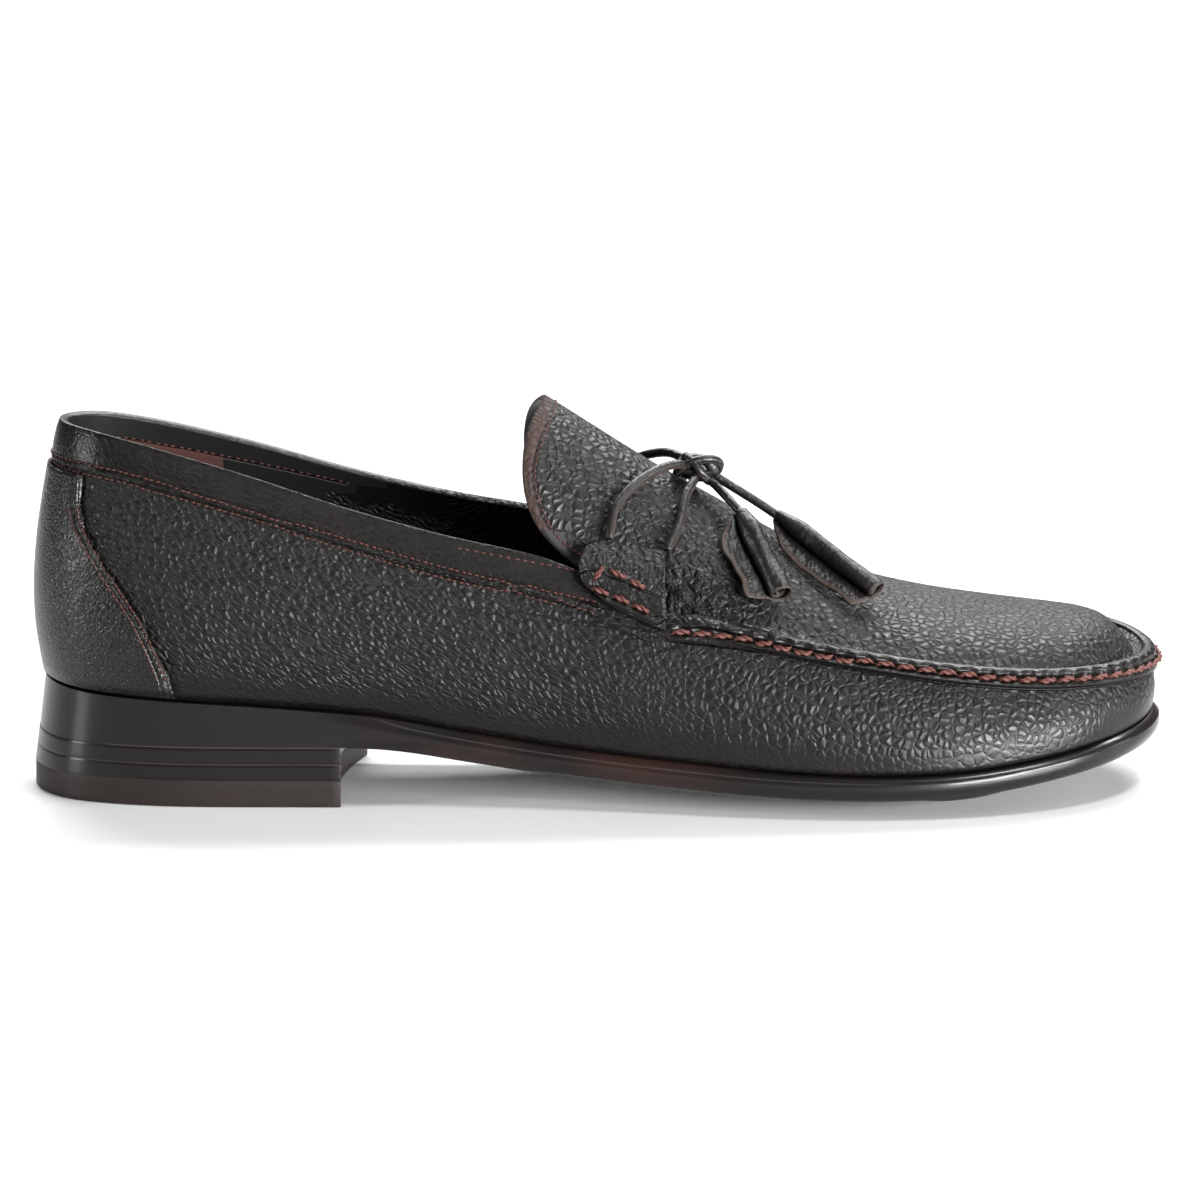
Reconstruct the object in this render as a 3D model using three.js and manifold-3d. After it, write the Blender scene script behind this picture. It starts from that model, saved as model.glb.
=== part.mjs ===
// A right-foot tassel loafer with a raised moccasin seam, in millimetres.
// +X points to the toe, +Y to the inner (medial) side of the foot, +Z up, and the floor is z = 0.
import * as THREE from "three";
import Module from "manifold-3d";

const wasm = await Module();
wasm.setup();

// Overall sizes.
const LENGTH = 302;
const BALL_WIDTH = 105;
const TOE_SWING = 6;
const TOE_SPRING = 12.8;
const QUARTER_RISE = 68;
const INSTEP_RISE = 68;
const TONGUE_RISE = 89.3;

// Sole and heel.
const TOP_PIECE = 6.8;
const LIFT = 4.5;
const HEEL_STACK = TOP_PIECE + 2 * LIFT;
const OUTSOLE = 4.2;
const MIDSOLE = 3;
const CAMBER = 4;
const EDGE_ROUND = 2.4;
const HEEL_BREAST = 83;
const BREAST_SKEW = 5;
const BREAST_HOLLOW = 4;
const FLARE_BACK = 2.9;
const FLARE_SIDE = 1;

// Upper, linings and trim.
const WALL = 2;
const BULGE = 5;
const HEEL_MARGIN = 1.4;
const SOLE_MARGIN = 2.4;
const INSOLE = 3;
const TONGUE_WALL = 2.2;
const THROAT_BOW = 10;
const THROAT_TURN_RADIANS = 1.15;
const APRON_ARCH_SHARE = 0.94;
const TUCK = 0.55;
const STRIP = 10;
const STRIP_STEP = 0.8;
const RIDGE = 3.6;
const COUNTER_WALL = 0.9;
const COUNTER_GAP = 0.5;
const KEEPER_WALL = 2.2;
const KEEPER_DROP = 7;
const KEEPER_ARCH = 1.3;
const KEEPER_BRIDGE = 0.8;
const KEEPER_LENGTH_IN_RIBS = 2.5;
const LACE = 2.8;
const KNOT = 5;
const ROLL = 7;
const FRINGE_WALL = 1.1;
const FRINGE_WIDTH = 5.5;

// Curved pieces that meet keep this clearance.
const GAP = 0.3;

// One row for each section from the heel's back to the toe's tip. at is a share of LENGTH, and the two
// half widths of the sole are shares of BALL_WIDTH. The height of the sole's lower edge is heel (a share of
// HEEL_STACK) and spring (of TOE_SPRING) together. mid and camber are shares of MIDSOLE and CAMBER.
const SOLE_ROWS = [
  { at: 0.0096, lateral: 0, medial: 0, heel: 1, spring: 0, mid: 3.23, camber: 0 },
  { at: 0.0199, lateral: 0.133, medial: 0.133, heel: 1, spring: 0, mid: 3.17, camber: 0 },
  { at: 0.0507, lateral: 0.24, medial: 0.24, heel: 1, spring: 0, mid: 2.87, camber: 0 },
  { at: 0.119, lateral: 0.305, medial: 0.302, heel: 1, spring: 0, mid: 2.53, camber: 0 },
  { at: 0.202, lateral: 0.316, medial: 0.308, heel: 1, spring: 0, mid: 2.1, camber: 0 },
  { at: 0.298, lateral: 0.319, medial: 0.295, heel: 1, spring: 0, mid: 1.3, camber: 0 },
  { at: 0.377, lateral: 0.333, medial: 0.272, heel: 0.77, spring: 0, mid: 1.15, camber: 0.2 },
  { at: 0.47, lateral: 0.362, medial: 0.272, heel: 0.53, spring: 0, mid: 1.05, camber: 0.5 },
  { at: 0.563, lateral: 0.414, medial: 0.338, heel: 0.35, spring: 0.03, mid: 1.05, camber: 0.9 },
  { at: 0.652, lateral: 0.467, medial: 0.443, heel: 0.2, spring: 0.1, mid: 1, camber: 1.12 },
  { at: 0.738, lateral: 0.49, medial: 0.51, heel: 0.1, spring: 0.19, mid: 0.92, camber: 1.02 },
  { at: 0.818, lateral: 0.471, medial: 0.519, heel: 0, spring: 0.37, mid: 0.9, camber: 0.68 },
  { at: 0.891, lateral: 0.4, medial: 0.476, heel: 0, spring: 0.56, mid: 0.85, camber: 0.45 },
  { at: 0.95, lateral: 0.286, medial: 0.381, heel: 0, spring: 0.77, mid: 0.82, camber: 0.3 },
  { at: 0.988, lateral: 0.129, medial: 0.238, heel: 0, spring: 0.94, mid: 0.83, camber: 0.15 },
  { at: 1, lateral: 0, medial: 0, heel: 0, spring: 1, mid: 0.9, camber: 0 },
];

// The same sections at the top line: the collar as far as the keepers, then the seam's thread line.
// at, lateral and medial are shares as above, and the rises over the sole are shares of QUARTER_RISE. out is
// the bulge of each side in shares of BULGE, roll how far the wall curls over, pitch the slope inside it.
const TOP_ROWS = [
  { at: 0.0265, lateral: 0, medial: 0, rise: [1, 1], out: [0.85, 0.85], roll: 0, pitch: 60 },
  { at: 0.0348, lateral: 0.086, medial: 0.086, rise: [0.999, 0.999], out: [0.9, 0.9], roll: 0, pitch: 60 },
  { at: 0.063, lateral: 0.162, medial: 0.162, rise: [0.997, 0.997], out: [1, 1], roll: 0, pitch: 60 },
  { at: 0.119, lateral: 0.205, medial: 0.205, rise: [0.953, 0.96], out: [1.1, 1.1], roll: 0.05, pitch: 60 },
  { at: 0.199, lateral: 0.238, medial: 0.238, rise: [0.874, 0.884], out: [1.1, 1.2], roll: 0.1, pitch: 60 },
  { at: 0.281, lateral: 0.267, medial: 0.262, rise: [0.796, 0.81], out: [1, 1.4], roll: 0.15, pitch: 60 },
  { at: 0.374, lateral: 0.286, medial: 0.267, rise: [0.747, 0.772], out: [0.9, 1.8], roll: 0.2, pitch: 60 },
  { at: 0.467, lateral: 0.295, medial: 0.271, rise: [0.713, 0.753], out: [0.8, 2], roll: 0.3, pitch: 60 },
  { at: 0.556, lateral: 0.333, medial: 0.3, rise: [0.551, 0.596], out: [0.6, 1.5], roll: 0.5, pitch: 58 },
  { at: 0.646, lateral: 0.362, medial: 0.343, rise: [0.466, 0.503], out: [0.4, 0.9], roll: 0.6, pitch: 48 },
  { at: 0.732, lateral: 0.371, medial: 0.385, rise: [0.401, 0.441], out: [0.3, 0.5], roll: 0.65, pitch: 40 },
  { at: 0.811, lateral: 0.362, medial: 0.4, rise: [0.338, 0.378], out: [0.3, 0.3], roll: 0.6, pitch: 32 },
  { at: 0.884, lateral: 0.319, medial: 0.375, rise: [0.274, 0.318], out: [0.25, 0.25], roll: 0.5, pitch: 26 },
  { at: 0.942, lateral: 0.224, medial: 0.3, rise: [0.226, 0.276], out: [0.2, 0.2], roll: 0.4, pitch: 20 },
  { at: 0.978, lateral: 0.09, medial: 0.2, rise: [0.191, 0.219], out: [0.2, 0.2], roll: 0.3, pitch: 14 },
  { at: 0.9907, lateral: 0, medial: 0, rise: [0.179, 0.179], out: [0.2, 0.2], roll: 0.3, pitch: 12 },
];

// The crest of the apron from the throat to the toe: at is a share of LENGTH, rise of INSTEP_RISE.
const CREST_ROWS = [
  { at: 0.55, rise: 1.09 },
  { at: 0.59, rise: 0.975 },
  { at: 0.634, rise: 0.866 },
  { at: 0.679, rise: 0.755 },
  { at: 0.7235, rise: 0.655 },
  { at: 0.791, rise: 0.568 },
  { at: 0.848, rise: 0.509 },
  { at: 0.891, rise: 0.462 },
  { at: 0.9315, rise: 0.413 },
  { at: 0.955, rise: 0.37 },
  { at: 0.977, rise: 0.25 },
];

// The free edge of the tongue from its top downwards: at is a share of LENGTH, side of BALL_WIDTH for the
// lateral and the medial half, rise of TONGUE_RISE.
const TONGUE_ROWS = [
  { at: 0.459, side: [0, 0], rise: 1 },
  { at: 0.4455, side: [0.124, 0.124], rise: 0.963 },
  { at: 0.439, side: [0.171, 0.168], rise: 0.914 },
  { at: 0.435, side: [0.214, 0.206], rise: 0.854 },
  { at: 0.433, side: [0.243, 0.23], rise: 0.775 },
  { at: 0.436, side: [0.257, 0.238], rise: 0.694 },
  { at: 0.4455, side: [0.264, 0.24], rise: 0.623 },
  { at: 0.462, side: [0.268, 0.242], rise: 0.573 },
  { at: 0.483, side: [0.273, 0.244], rise: 0.53 },
];

// The edge of the heel counter: up is a share of the wall's height, reach is counted in rows from the back.
const COUNTER_ROWS = [
  { up: 0.02, reach: 3.15 },
  { up: 0.18, reach: 3.02 },
  { up: 0.32, reach: 2.8 },
  { up: 0.44, reach: 2.5 },
  { up: 0.55, reach: 2.15 },
  { up: 0.66, reach: 1.8 },
  { up: 0.76, reach: 1.6 },
  { up: 0.83, reach: 1.55 },
];

// Lace routes over the tongue: along from the throat to the free edge, across from one side to the middle,
// and the lift of the lace's middle over the tongue in millimetres.
const REAR_STRAND = [
  { along: 0.5, across: 0.168, lift: 3.1 },
  { along: 0.46, across: 0.25, lift: 1.9 },
  { along: 0.34, across: 0.35, lift: 2.2 },
  { along: 0.2, across: 0.44, lift: 4.6 },
];
const FRONT_STRAND = [
  { along: 0.1, across: 0.153, lift: 3.2 },
  { along: 0.06, across: 0.25, lift: 1.9 },
  { along: 0.07, across: 0.35, lift: 2.2 },
  { along: 0.05, across: 0.43, lift: 3.8 },
];
const KNOT_PLACE = { along: 0.06, across: 0.5, lift: 4.6 };

// Each tassel's roll over the apron: along from the throat to the toe, across from the outer side.
const TASSEL_PLACES = {
  tassel_near: {
    top: { along: 0.07, across: 0.34, lift: 5 },
    end: { along: 0.19, across: 0.09, lift: 5.2 },
    strips: [-0.4, Math.PI + 0.4],
  },
  tassel_far: {
    top: { along: 0.13, across: 0.46, lift: 5.4 },
    end: { along: 0.35, across: 0.25, lift: 4.5 },
    strips: [-0.4, Math.PI + 0.4],
  },
};

// How finely the curves are cut: ribs for each row, cells up the wall and across the front.
const RIBS_PER_ROW = 3;
const WALL_CELLS = 5;
const ROWS_AROUND = 2 * (SOLE_ROWS.length - 1);
const RIBS = ROWS_AROUND * RIBS_PER_ROW;
const TOE_RIB = RIBS / 2;
const SOLE_RIBS = ROWS_AROUND * 2;
const KEEPER_FRONT_RIB = 8 * RIBS_PER_ROW;
const KEEPER_REAR_RIB = KEEPER_FRONT_RIB - 2;
const CORNER_RIB = 13 * RIBS_PER_ROW;
const APRON_CELLS = CORNER_RIB - KEEPER_FRONT_RIB;
const CROSS_CELLS = 2 * (TOE_RIB - CORNER_RIB);
const SOLE_CROSS = 4;
const OVER_ROWS = 6;
const RIM_ROW = WALL_CELLS + OVER_ROWS;

const vec = (x, y, z) => new THREE.Vector3(x, y, z);
const UP = vec(0, 0, 1);
const mix = (a, b, share) => a + (b - a) * share;
const lerp = (a, b, share) => a.clone().lerp(b, share);
const smooth = (x, low, high) => THREE.MathUtils.smoothstep(x, low, high);

// A closed curve through a value of every row: heel tip, lateral rows, toe tip, medial rows backwards.
function rowLoop(rows, pick) {
  const last = rows.length - 1;
  const points = [pick(rows[0], 0, 0)];
  for (let i = 1; i < last; i += 1) points.push(pick(rows[i], -1, i));
  points.push(pick(rows[last], 0, last));
  for (let i = last - 1; i > 0; i -= 1) points.push(pick(rows[i], 1, i));
  return new THREE.CatmullRomCurve3(points, true, "catmullrom", 0.5);
}

const halfWidth = (row, side) => (side < 0 ? row.lateral : row.medial) * BALL_WIDTH * side;
const tipSwing = (index) => (index === SOLE_ROWS.length - 1 ? TOE_SWING : 0);
const underside = (row) => row.heel * HEEL_STACK + row.spring * TOE_SPRING;
const midsoleTop = (row) => underside(row) + OUTSOLE + GAP + row.mid * MIDSOLE;
const bySide = (pair, side) => pair[side > 0 ? 1 : 0];

const outlineLoop = rowLoop(SOLE_ROWS, (row, side, i) =>
  vec(row.at * LENGTH, halfWidth(row, side) + tipSwing(i), midsoleTop(row)),
);
const soleLoop = rowLoop(SOLE_ROWS, (row) => vec(underside(row), row.camber * CAMBER, row.at));
const topLoop = rowLoop(TOP_ROWS, (row, side, i) =>
  vec(
    row.at * LENGTH,
    halfWidth(row, side) + tipSwing(i),
    midsoleTop(SOLE_ROWS[i]) + GAP + bySide(row.rise, side) * QUARTER_RISE,
  ),
);
const formLoop = rowLoop(TOP_ROWS, (row, side) => vec(bySide(row.out, side) * BULGE, row.roll, row.pitch));

const wrap = (share) => ((share % 1) + 1) % 1;

// The outward direction of the sole's outline at a share of the way round.
function outward(share) {
  const along = outlineLoop.getTangent(wrap(share));
  return vec(along.y, -along.x, 0).normalize();
}

// The outline moved in by a distance, at the height of the midsole's top.
function outlinePoint(share, inset) {
  return outlineLoop.getPoint(wrap(share)).addScaledVector(outward(share), -inset);
}

const margin = (x) => mix(HEEL_MARGIN, SOLE_MARGIN, smooth(x, HEEL_BREAST * 0.8, HEEL_BREAST * 1.4));

// The smooth wall without its strip and ridge: up runs from the sole's edge to the top line.
function wallPoint(share, up) {
  const foot = outlinePoint(share, margin(outlineLoop.getPoint(wrap(share)).x));
  foot.z += GAP;
  const top = topLoop.getPoint(wrap(share));
  const form = formLoop.getPoint(wrap(share));
  const angle = (up * Math.PI) / 2;
  const inwards = mix(up, 1 - Math.cos(angle), form.y);
  const upwards = mix(up, Math.sin(angle), form.y);
  const point = vec(mix(foot.x, top.x, inwards), mix(foot.y, top.y, inwards), mix(foot.z, top.z, upwards));
  return point.addScaledVector(outward(share), form.x * Math.sin(Math.PI * up ** 0.75));
}

// Directions at the top line: up the wall, out of the wall, along the apron, out of the apron.
function topFrame(share) {
  const top = topLoop.getPoint(wrap(share));
  const climb = top.clone().sub(wallPoint(share, 0.9)).normalize();
  const run = topLoop.getTangent(wrap(share)).normalize();
  const out = run.clone().cross(climb).normalize();
  const inner = vec(-run.y, run.x, 0).normalize();
  const pitch = THREE.MathUtils.degToRad(formLoop.getPoint(wrap(share)).z);
  const apron = inner.multiplyScalar(Math.cos(pitch)).addScaledVector(UP, Math.sin(pitch));
  const crown = run.clone().cross(apron).normalize();
  return { top, climb, out, apron, crown };
}

const fromTop = (frame, climb, out, apron, crown) =>
  frame.top
    .clone()
    .addScaledVector(frame.climb, climb)
    .addScaledVector(frame.out, out)
    .addScaledVector(frame.apron, apron)
    .addScaledVector(frame.crown, crown);

// The rows over the top line as a flat collar strip and as a rolled seam, from the wall to the inner rim.
const collarRows = (f) => [
  fromTop(f, -STRIP, STRIP_STEP, 0, 0),
  fromTop(f, -STRIP / 2, STRIP_STEP + 0.2, 0, 0),
  fromTop(f, -1.4, STRIP_STEP, 0, 0),
  fromTop(f, 0.3, STRIP_STEP / 2, 0, 0),
  fromTop(f, 0.6, -WALL / 2, 0, 0),
  fromTop(f, 0, -WALL, 0, 0),
];
const seamRows = (f) => [
  fromTop(f, -RIDGE * 0.64, RIDGE * 0.36, 0, 0),
  fromTop(f, 0, RIDGE * 0.44, 0, 0),
  fromTop(f, 0, RIDGE * 0.25, 0, RIDGE * 0.67),
  fromTop(f, 0, 0, RIDGE / 3, RIDGE),
  fromTop(f, 0, 0, RIDGE * 0.89, RIDGE * 0.78),
  fromTop(f, 0, 0, RIDGE * 1.22, RIDGE * 0.11),
];

// How far a rib has turned from collar into seam: the change lies just before the keeper's front end.
const seamShare = (share) => {
  const rib = Math.min(wrap(share), 1 - wrap(share)) * RIBS;
  return smooth(rib, KEEPER_FRONT_RIB, KEEPER_FRONT_RIB + 1);
};

function rimPoint(share) {
  const frame = topFrame(share);
  return lerp(collarRows(frame)[5], seamRows(frame)[5], seamShare(share));
}

// One rib of the upper's outer face from the sole's edge to the rim.
function outerRib(share) {
  const frame = topFrame(share);
  const seam = seamShare(share);
  const height = frame.top.distanceTo(wallPoint(share, 0));
  const strip = mix(STRIP + 0.4, RIDGE * 0.72, seam);
  const rows = [];
  for (let i = 0; i <= WALL_CELLS; i += 1) rows.push(wallPoint(share, ((1 - strip / height) * i) / WALL_CELLS));
  const collar = collarRows(frame);
  seamRows(frame).forEach((point, i) => rows.push(lerp(collar[i], point, seam)));
  return rows;
}

// The same rib without strip or ridge, which carries the inner face.
function innerRib(share) {
  const rows = outerRib(share).slice(0, WALL_CELLS + 1);
  const frame = topFrame(share);
  const seam = seamShare(share);
  const start = rows[WALL_CELLS];
  const end = lerp(fromTop(frame, -0.9, 0, 0, 0), fromTop(frame, 0, 0, RIDGE * 1.22, 0), seam);
  const bend = lerp(lerp(start, frame.top, 0.5), frame.top, seam);
  const curve = new THREE.QuadraticBezierCurve3(start, bend, end);
  for (let i = 1; i <= OVER_ROWS; i += 1) rows.push(curve.getPoint(i / OVER_ROWS));
  return rows;
}

// Finds where a rising function passes a value between two bounds.
function solve(rising, value, low, high) {
  for (let i = 0; i < 40; i += 1) {
    const middle = (low + high) / 2;
    if (rising(middle) < value) low = middle;
    else high = middle;
  }
  return (low + high) / 2;
}

const lateralShareAt = (x) => solve((share) => outlineLoop.getPoint(share).x, x, 0, 0.5);
const seatHeight = (x) => outlineLoop.getPoint(lateralShareAt(x)).z + GAP;

const crestCurve = new THREE.CatmullRomCurve3(
  CREST_ROWS.map((row) => vec(row.at * LENGTH, 0, seatHeight(row.at * LENGTH) + row.rise * INSTEP_RISE)),
  false,
  "catmullrom",
  0.5,
);
const crestHeight = (x) => crestCurve.getPoint(solve((t) => crestCurve.getPoint(t).x, x, 0, 1)).z;

// A sheet between four edges: near and far run across, left and right run along.
function sheetBetween(near, far, left, right) {
  const corners = [near(0), near(1), far(0), far(1)];
  return (along, across) => {
    const point = near(across).multiplyScalar(1 - along).addScaledVector(far(across), along);
    point.addScaledVector(left(along), 1 - across).addScaledVector(right(along), across);
    point.addScaledVector(corners[0], -(1 - along) * (1 - across));
    point.addScaledVector(corners[1], -(1 - along) * across);
    point.addScaledVector(corners[2], -along * (1 - across));
    return point.addScaledVector(corners[3], -along * across);
  };
}

// The apron lies between the two seam rims and the rim round the toe, and is arched over the instep.
const lateralRib = (along) => mix(KEEPER_FRONT_RIB, CORNER_RIB, along) / RIBS;
const throatLine = (across) => {
  const ends = [rimPoint(lateralRib(0)), rimPoint(-lateralRib(0))];
  const angle = (2 * across - 1) * THROAT_TURN_RADIANS;
  const point = lerp(ends[0], ends[1], 0.5 + Math.sin(angle) / Math.sin(THROAT_TURN_RADIANS) / 2);
  point.x += THROAT_BOW * (1 - (2 * across - 1) ** 2);
  return point;
};
const toeLine = (across) => rimPoint(mix(CORNER_RIB, RIBS - CORNER_RIB, across) / RIBS);
const flatApron = sheetBetween(
  throatLine,
  toeLine,
  (along) => rimPoint(lateralRib(along)),
  (along) => rimPoint(-lateralRib(along)),
);
function apronPoint(along, across) {
  const point = flatApron(along, across);
  const middle = flatApron(along, 0.5);
  const left = flatApron(along, 0);
  const right = flatApron(along, 1);
  const offset = across < 0.5 ? point.distanceTo(middle) / left.distanceTo(middle) : 1;
  const share = across < 0.5 ? offset : point.distanceTo(middle) / right.distanceTo(middle);
  const low = Math.sqrt(1 - APRON_ARCH_SHARE ** 2);
  const arch = (Math.sqrt(Math.max(1 - (APRON_ARCH_SHARE * share) ** 2, 0)) - low) / (1 - low);
  const fade = along < 1 ? 1 : 0;
  point.z += Math.max(crestHeight(middle.x) - middle.z, 0) * Math.max(arch, 0) * fade;
  return point;
}

// The tongue runs on from the apron's rear edge, with its sides just inside the rims.
const tuck = (point, side) => point.add(vec(-TUCK, -side * TUCK, 0));
const tongueSide = (side) => (along) =>
  tuck(rimPoint((-side * mix(KEEPER_FRONT_RIB, KEEPER_REAR_RIB, along)) / RIBS), side);
const tongueEdge = (() => {
  const half = (side) =>
    TONGUE_ROWS.map((row) =>
      vec(
        row.at * LENGTH,
        side * bySide(row.side, side) * BALL_WIDTH,
        seatHeight(row.at * LENGTH) + row.rise * TONGUE_RISE,
      ),
    );
  const points = [tongueSide(-1)(1), ...half(-1).reverse(), ...half(1).slice(1), tongueSide(1)(1)];
  return new THREE.CatmullRomCurve3(points, false, "catmullrom", 0.5);
})();
const tonguePoint = sheetBetween(
  (across) => tuck(apronPoint(0, across), 2 * across - 1),
  (across) => tongueEdge.getPoint(across),
  tongueSide(-1),
  tongueSide(1),
);

// A mesh put together from shared corners.
class Body {
  constructor() {
    this.corners = [];
    this.triangles = [];
  }

  add(point) {
    this.corners.push(point);
    return this.corners.length - 1;
  }

  face(a, b, c, d) {
    if (a !== b && b !== c && c !== a) this.triangles.push(a, b, c);
    if (a !== c && c !== d && d !== a) this.triangles.push(a, c, d);
  }

  // Quads over a grid of corner numbers, turned over where flip is true.
  grid(cells, flip) {
    for (let i = 0; i + 1 < cells.length; i += 1) {
      for (let j = 0; j + 1 < cells[i].length; j += 1) {
        const quad = [cells[i][j], cells[i + 1][j], cells[i + 1][j + 1], cells[i][j + 1]];
        if (flip) quad.reverse();
        this.face(...quad);
      }
    }
  }

  geometry() {
    const places = new Float32Array(this.corners.flatMap((corner) => [corner.x, corner.y, corner.z]));
    const geometry = new THREE.BufferGeometry();
    geometry.setAttribute("position", new THREE.BufferAttribute(places, 3));
    geometry.setIndex(this.triangles);
    geometry.computeVertexNormals();
    return geometry;
  }
}

// Corner normals of a body's faces, which carry an offset of its surface.
function cornerNormals(body) {
  const normal = body.geometry().getAttribute("normal");
  return body.corners.map((_, i) => vec(normal.getX(i), normal.getY(i), normal.getZ(i)));
}

// A body closed by rings from bottom to top, its two ends filled across from side to side.
function ringBody(rings, bottomDrop) {
  const body = new Body();
  const count = rings[0].length;
  const levels = rings.map((ring) => ring.map((point) => body.add(point)));
  for (let r = 0; r + 1 < levels.length; r += 1) {
    for (let i = 0; i < count; i += 1) {
      const next = (i + 1) % count;
      body.face(levels[r][i], levels[r][next], levels[r + 1][next], levels[r + 1][i]);
    }
  }
  const fill = (ring, level, drop, flip) => {
    const rows = [];
    for (let i = 0; i <= count / 2; i += 1) {
      const row = [];
      const other = (count - i) % count;
      for (let k = 0; k <= SOLE_CROSS; k += 1) {
        const inner = k > 0 && k < SOLE_CROSS && i !== other;
        const point = lerp(ring[i], ring[other], k / SOLE_CROSS);
        if (inner) point.z = Math.max(point.z - drop(i, (2 * k) / SOLE_CROSS - 1), 0);
        if (inner) row.push(body.add(point));
        else row.push(level[k === SOLE_CROSS ? other : i]);
      }
      rows.push(row);
    }
    body.grid(rows, flip);
  };
  fill(rings[0], levels[0], bottomDrop, true);
  fill(rings[rings.length - 1], levels[levels.length - 1], () => 0, false);
  return body;
}

// The outline's flare towards the floor, over the heel only.
function flare(point, share, height) {
  const out = outward(share);
  const seat = outlineLoop.getPoint(0).z;
  const low = THREE.MathUtils.clamp((seat - height) / (seat - TOP_PIECE), 0, 1);
  const heel = 1 - smooth(point.x, HEEL_BREAST, HEEL_BREAST * 1.3);
  point.x -= Math.max(-out.x, 0) * FLARE_BACK * low * heel;
  point.y += out.y * FLARE_SIDE * low * heel;
  return point;
}

// A layer of the sole between two height functions of the row data; each edge entry is [height share, inset].
function soleLayer(low, high, edge, drop) {
  const rings = edge.map(([up, inset]) => {
    const ring = [];
    for (let i = 0; i < SOLE_RIBS; i += 1) {
      const share = i / SOLE_RIBS;
      const outline = outlineLoop.getPoint(share);
      const rounded = smooth(outline.x, HEEL_BREAST, HEEL_BREAST * 1.3);
      const point = outlinePoint(share, inset * rounded * EDGE_ROUND);
      point.z = mix(low(share), high(share), up);
      ring.push(flare(point, share, point.z));
    }
    return ring;
  });
  return ringBody(rings, drop);
}

const edgeHeight = (share) => Math.min(soleLoop.getPoint(share).x, HEEL_STACK);
const outsoleBody = soleLayer(
  edgeHeight,
  (share) => edgeHeight(share) + OUTSOLE,
  [[0, 1], [0.35, 0.35], [0.75, 0.03], [1, 0]],
  (i, c) => soleLoop.getPoint(i / SOLE_RIBS).y * Math.min(1, 1.25 * (1 - c ** 4)),
);
const midsoleBody = soleLayer(
  (share) => edgeHeight(share) + OUTSOLE + GAP,
  (share) => outlineLoop.getPoint(share).z,
  [[0, 0], [0.4, 0.06], [0.75, 0.4], [1, 0.85]],
  () => 0,
);

// A layer of the heel between two heights: rows across from the back to the hollow breast.
const HEEL_CELLS = 12;
function heelLayer(low, high) {
  const ends = [
    lateralShareAt(HEEL_BREAST),
    -solve((share) => outlineLoop.getPoint(1 - share).x, HEEL_BREAST + BREAST_SKEW, 0, 0.5),
  ];
  const body = new Body();
  const edgeAt = (end, i, height) => {
    const share = (end * i) / HEEL_CELLS;
    const point = outlinePoint(share, 0);
    point.z = height;
    return flare(point, share, height);
  };
  const level = (height) => {
    const rows = [];
    for (let i = 0; i <= HEEL_CELLS; i += 1) {
      const sides = ends.map((end) => edgeAt(end, i, height));
      const row = [body.add(sides[0])];
      for (let k = 1; k <= SOLE_CROSS && i > 0; k += 1) {
        const share = k / SOLE_CROSS;
        const point = lerp(sides[0], sides[1], share);
        point.x -= BREAST_HOLLOW * 4 * share * (1 - share) * (i / HEEL_CELLS) ** 3;
        row.push(body.add(point));
      }
      while (row.length <= SOLE_CROSS) row.push(row[0]);
      rows.push(row);
    }
    return rows;
  };
  const bottom = level(low);
  const top = level(high);
  body.grid(bottom, true);
  body.grid(top, false);
  const column = (rows, k) => rows.map((row) => row[k]);
  body.grid([column(bottom, 0), column(top, 0)], true);
  body.grid([column(bottom, SOLE_CROSS), column(top, SOLE_CROSS)], false);
  body.grid([bottom[HEEL_CELLS], top[HEEL_CELLS]], true);
  return body;
}

const insoleBody = (() => {
  const ring = (height) => {
    const points = [];
    for (let i = 0; i < SOLE_RIBS; i += 1) {
      const share = i / SOLE_RIBS;
      const point = outlinePoint(share, margin(outlineLoop.getPoint(share).x) + WALL + 2 * GAP);
      point.z += GAP + height;
      points.push(point);
    }
    return points;
  };
  return ringBody([ring(0), ring(INSOLE)], () => 0);
})();

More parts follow.
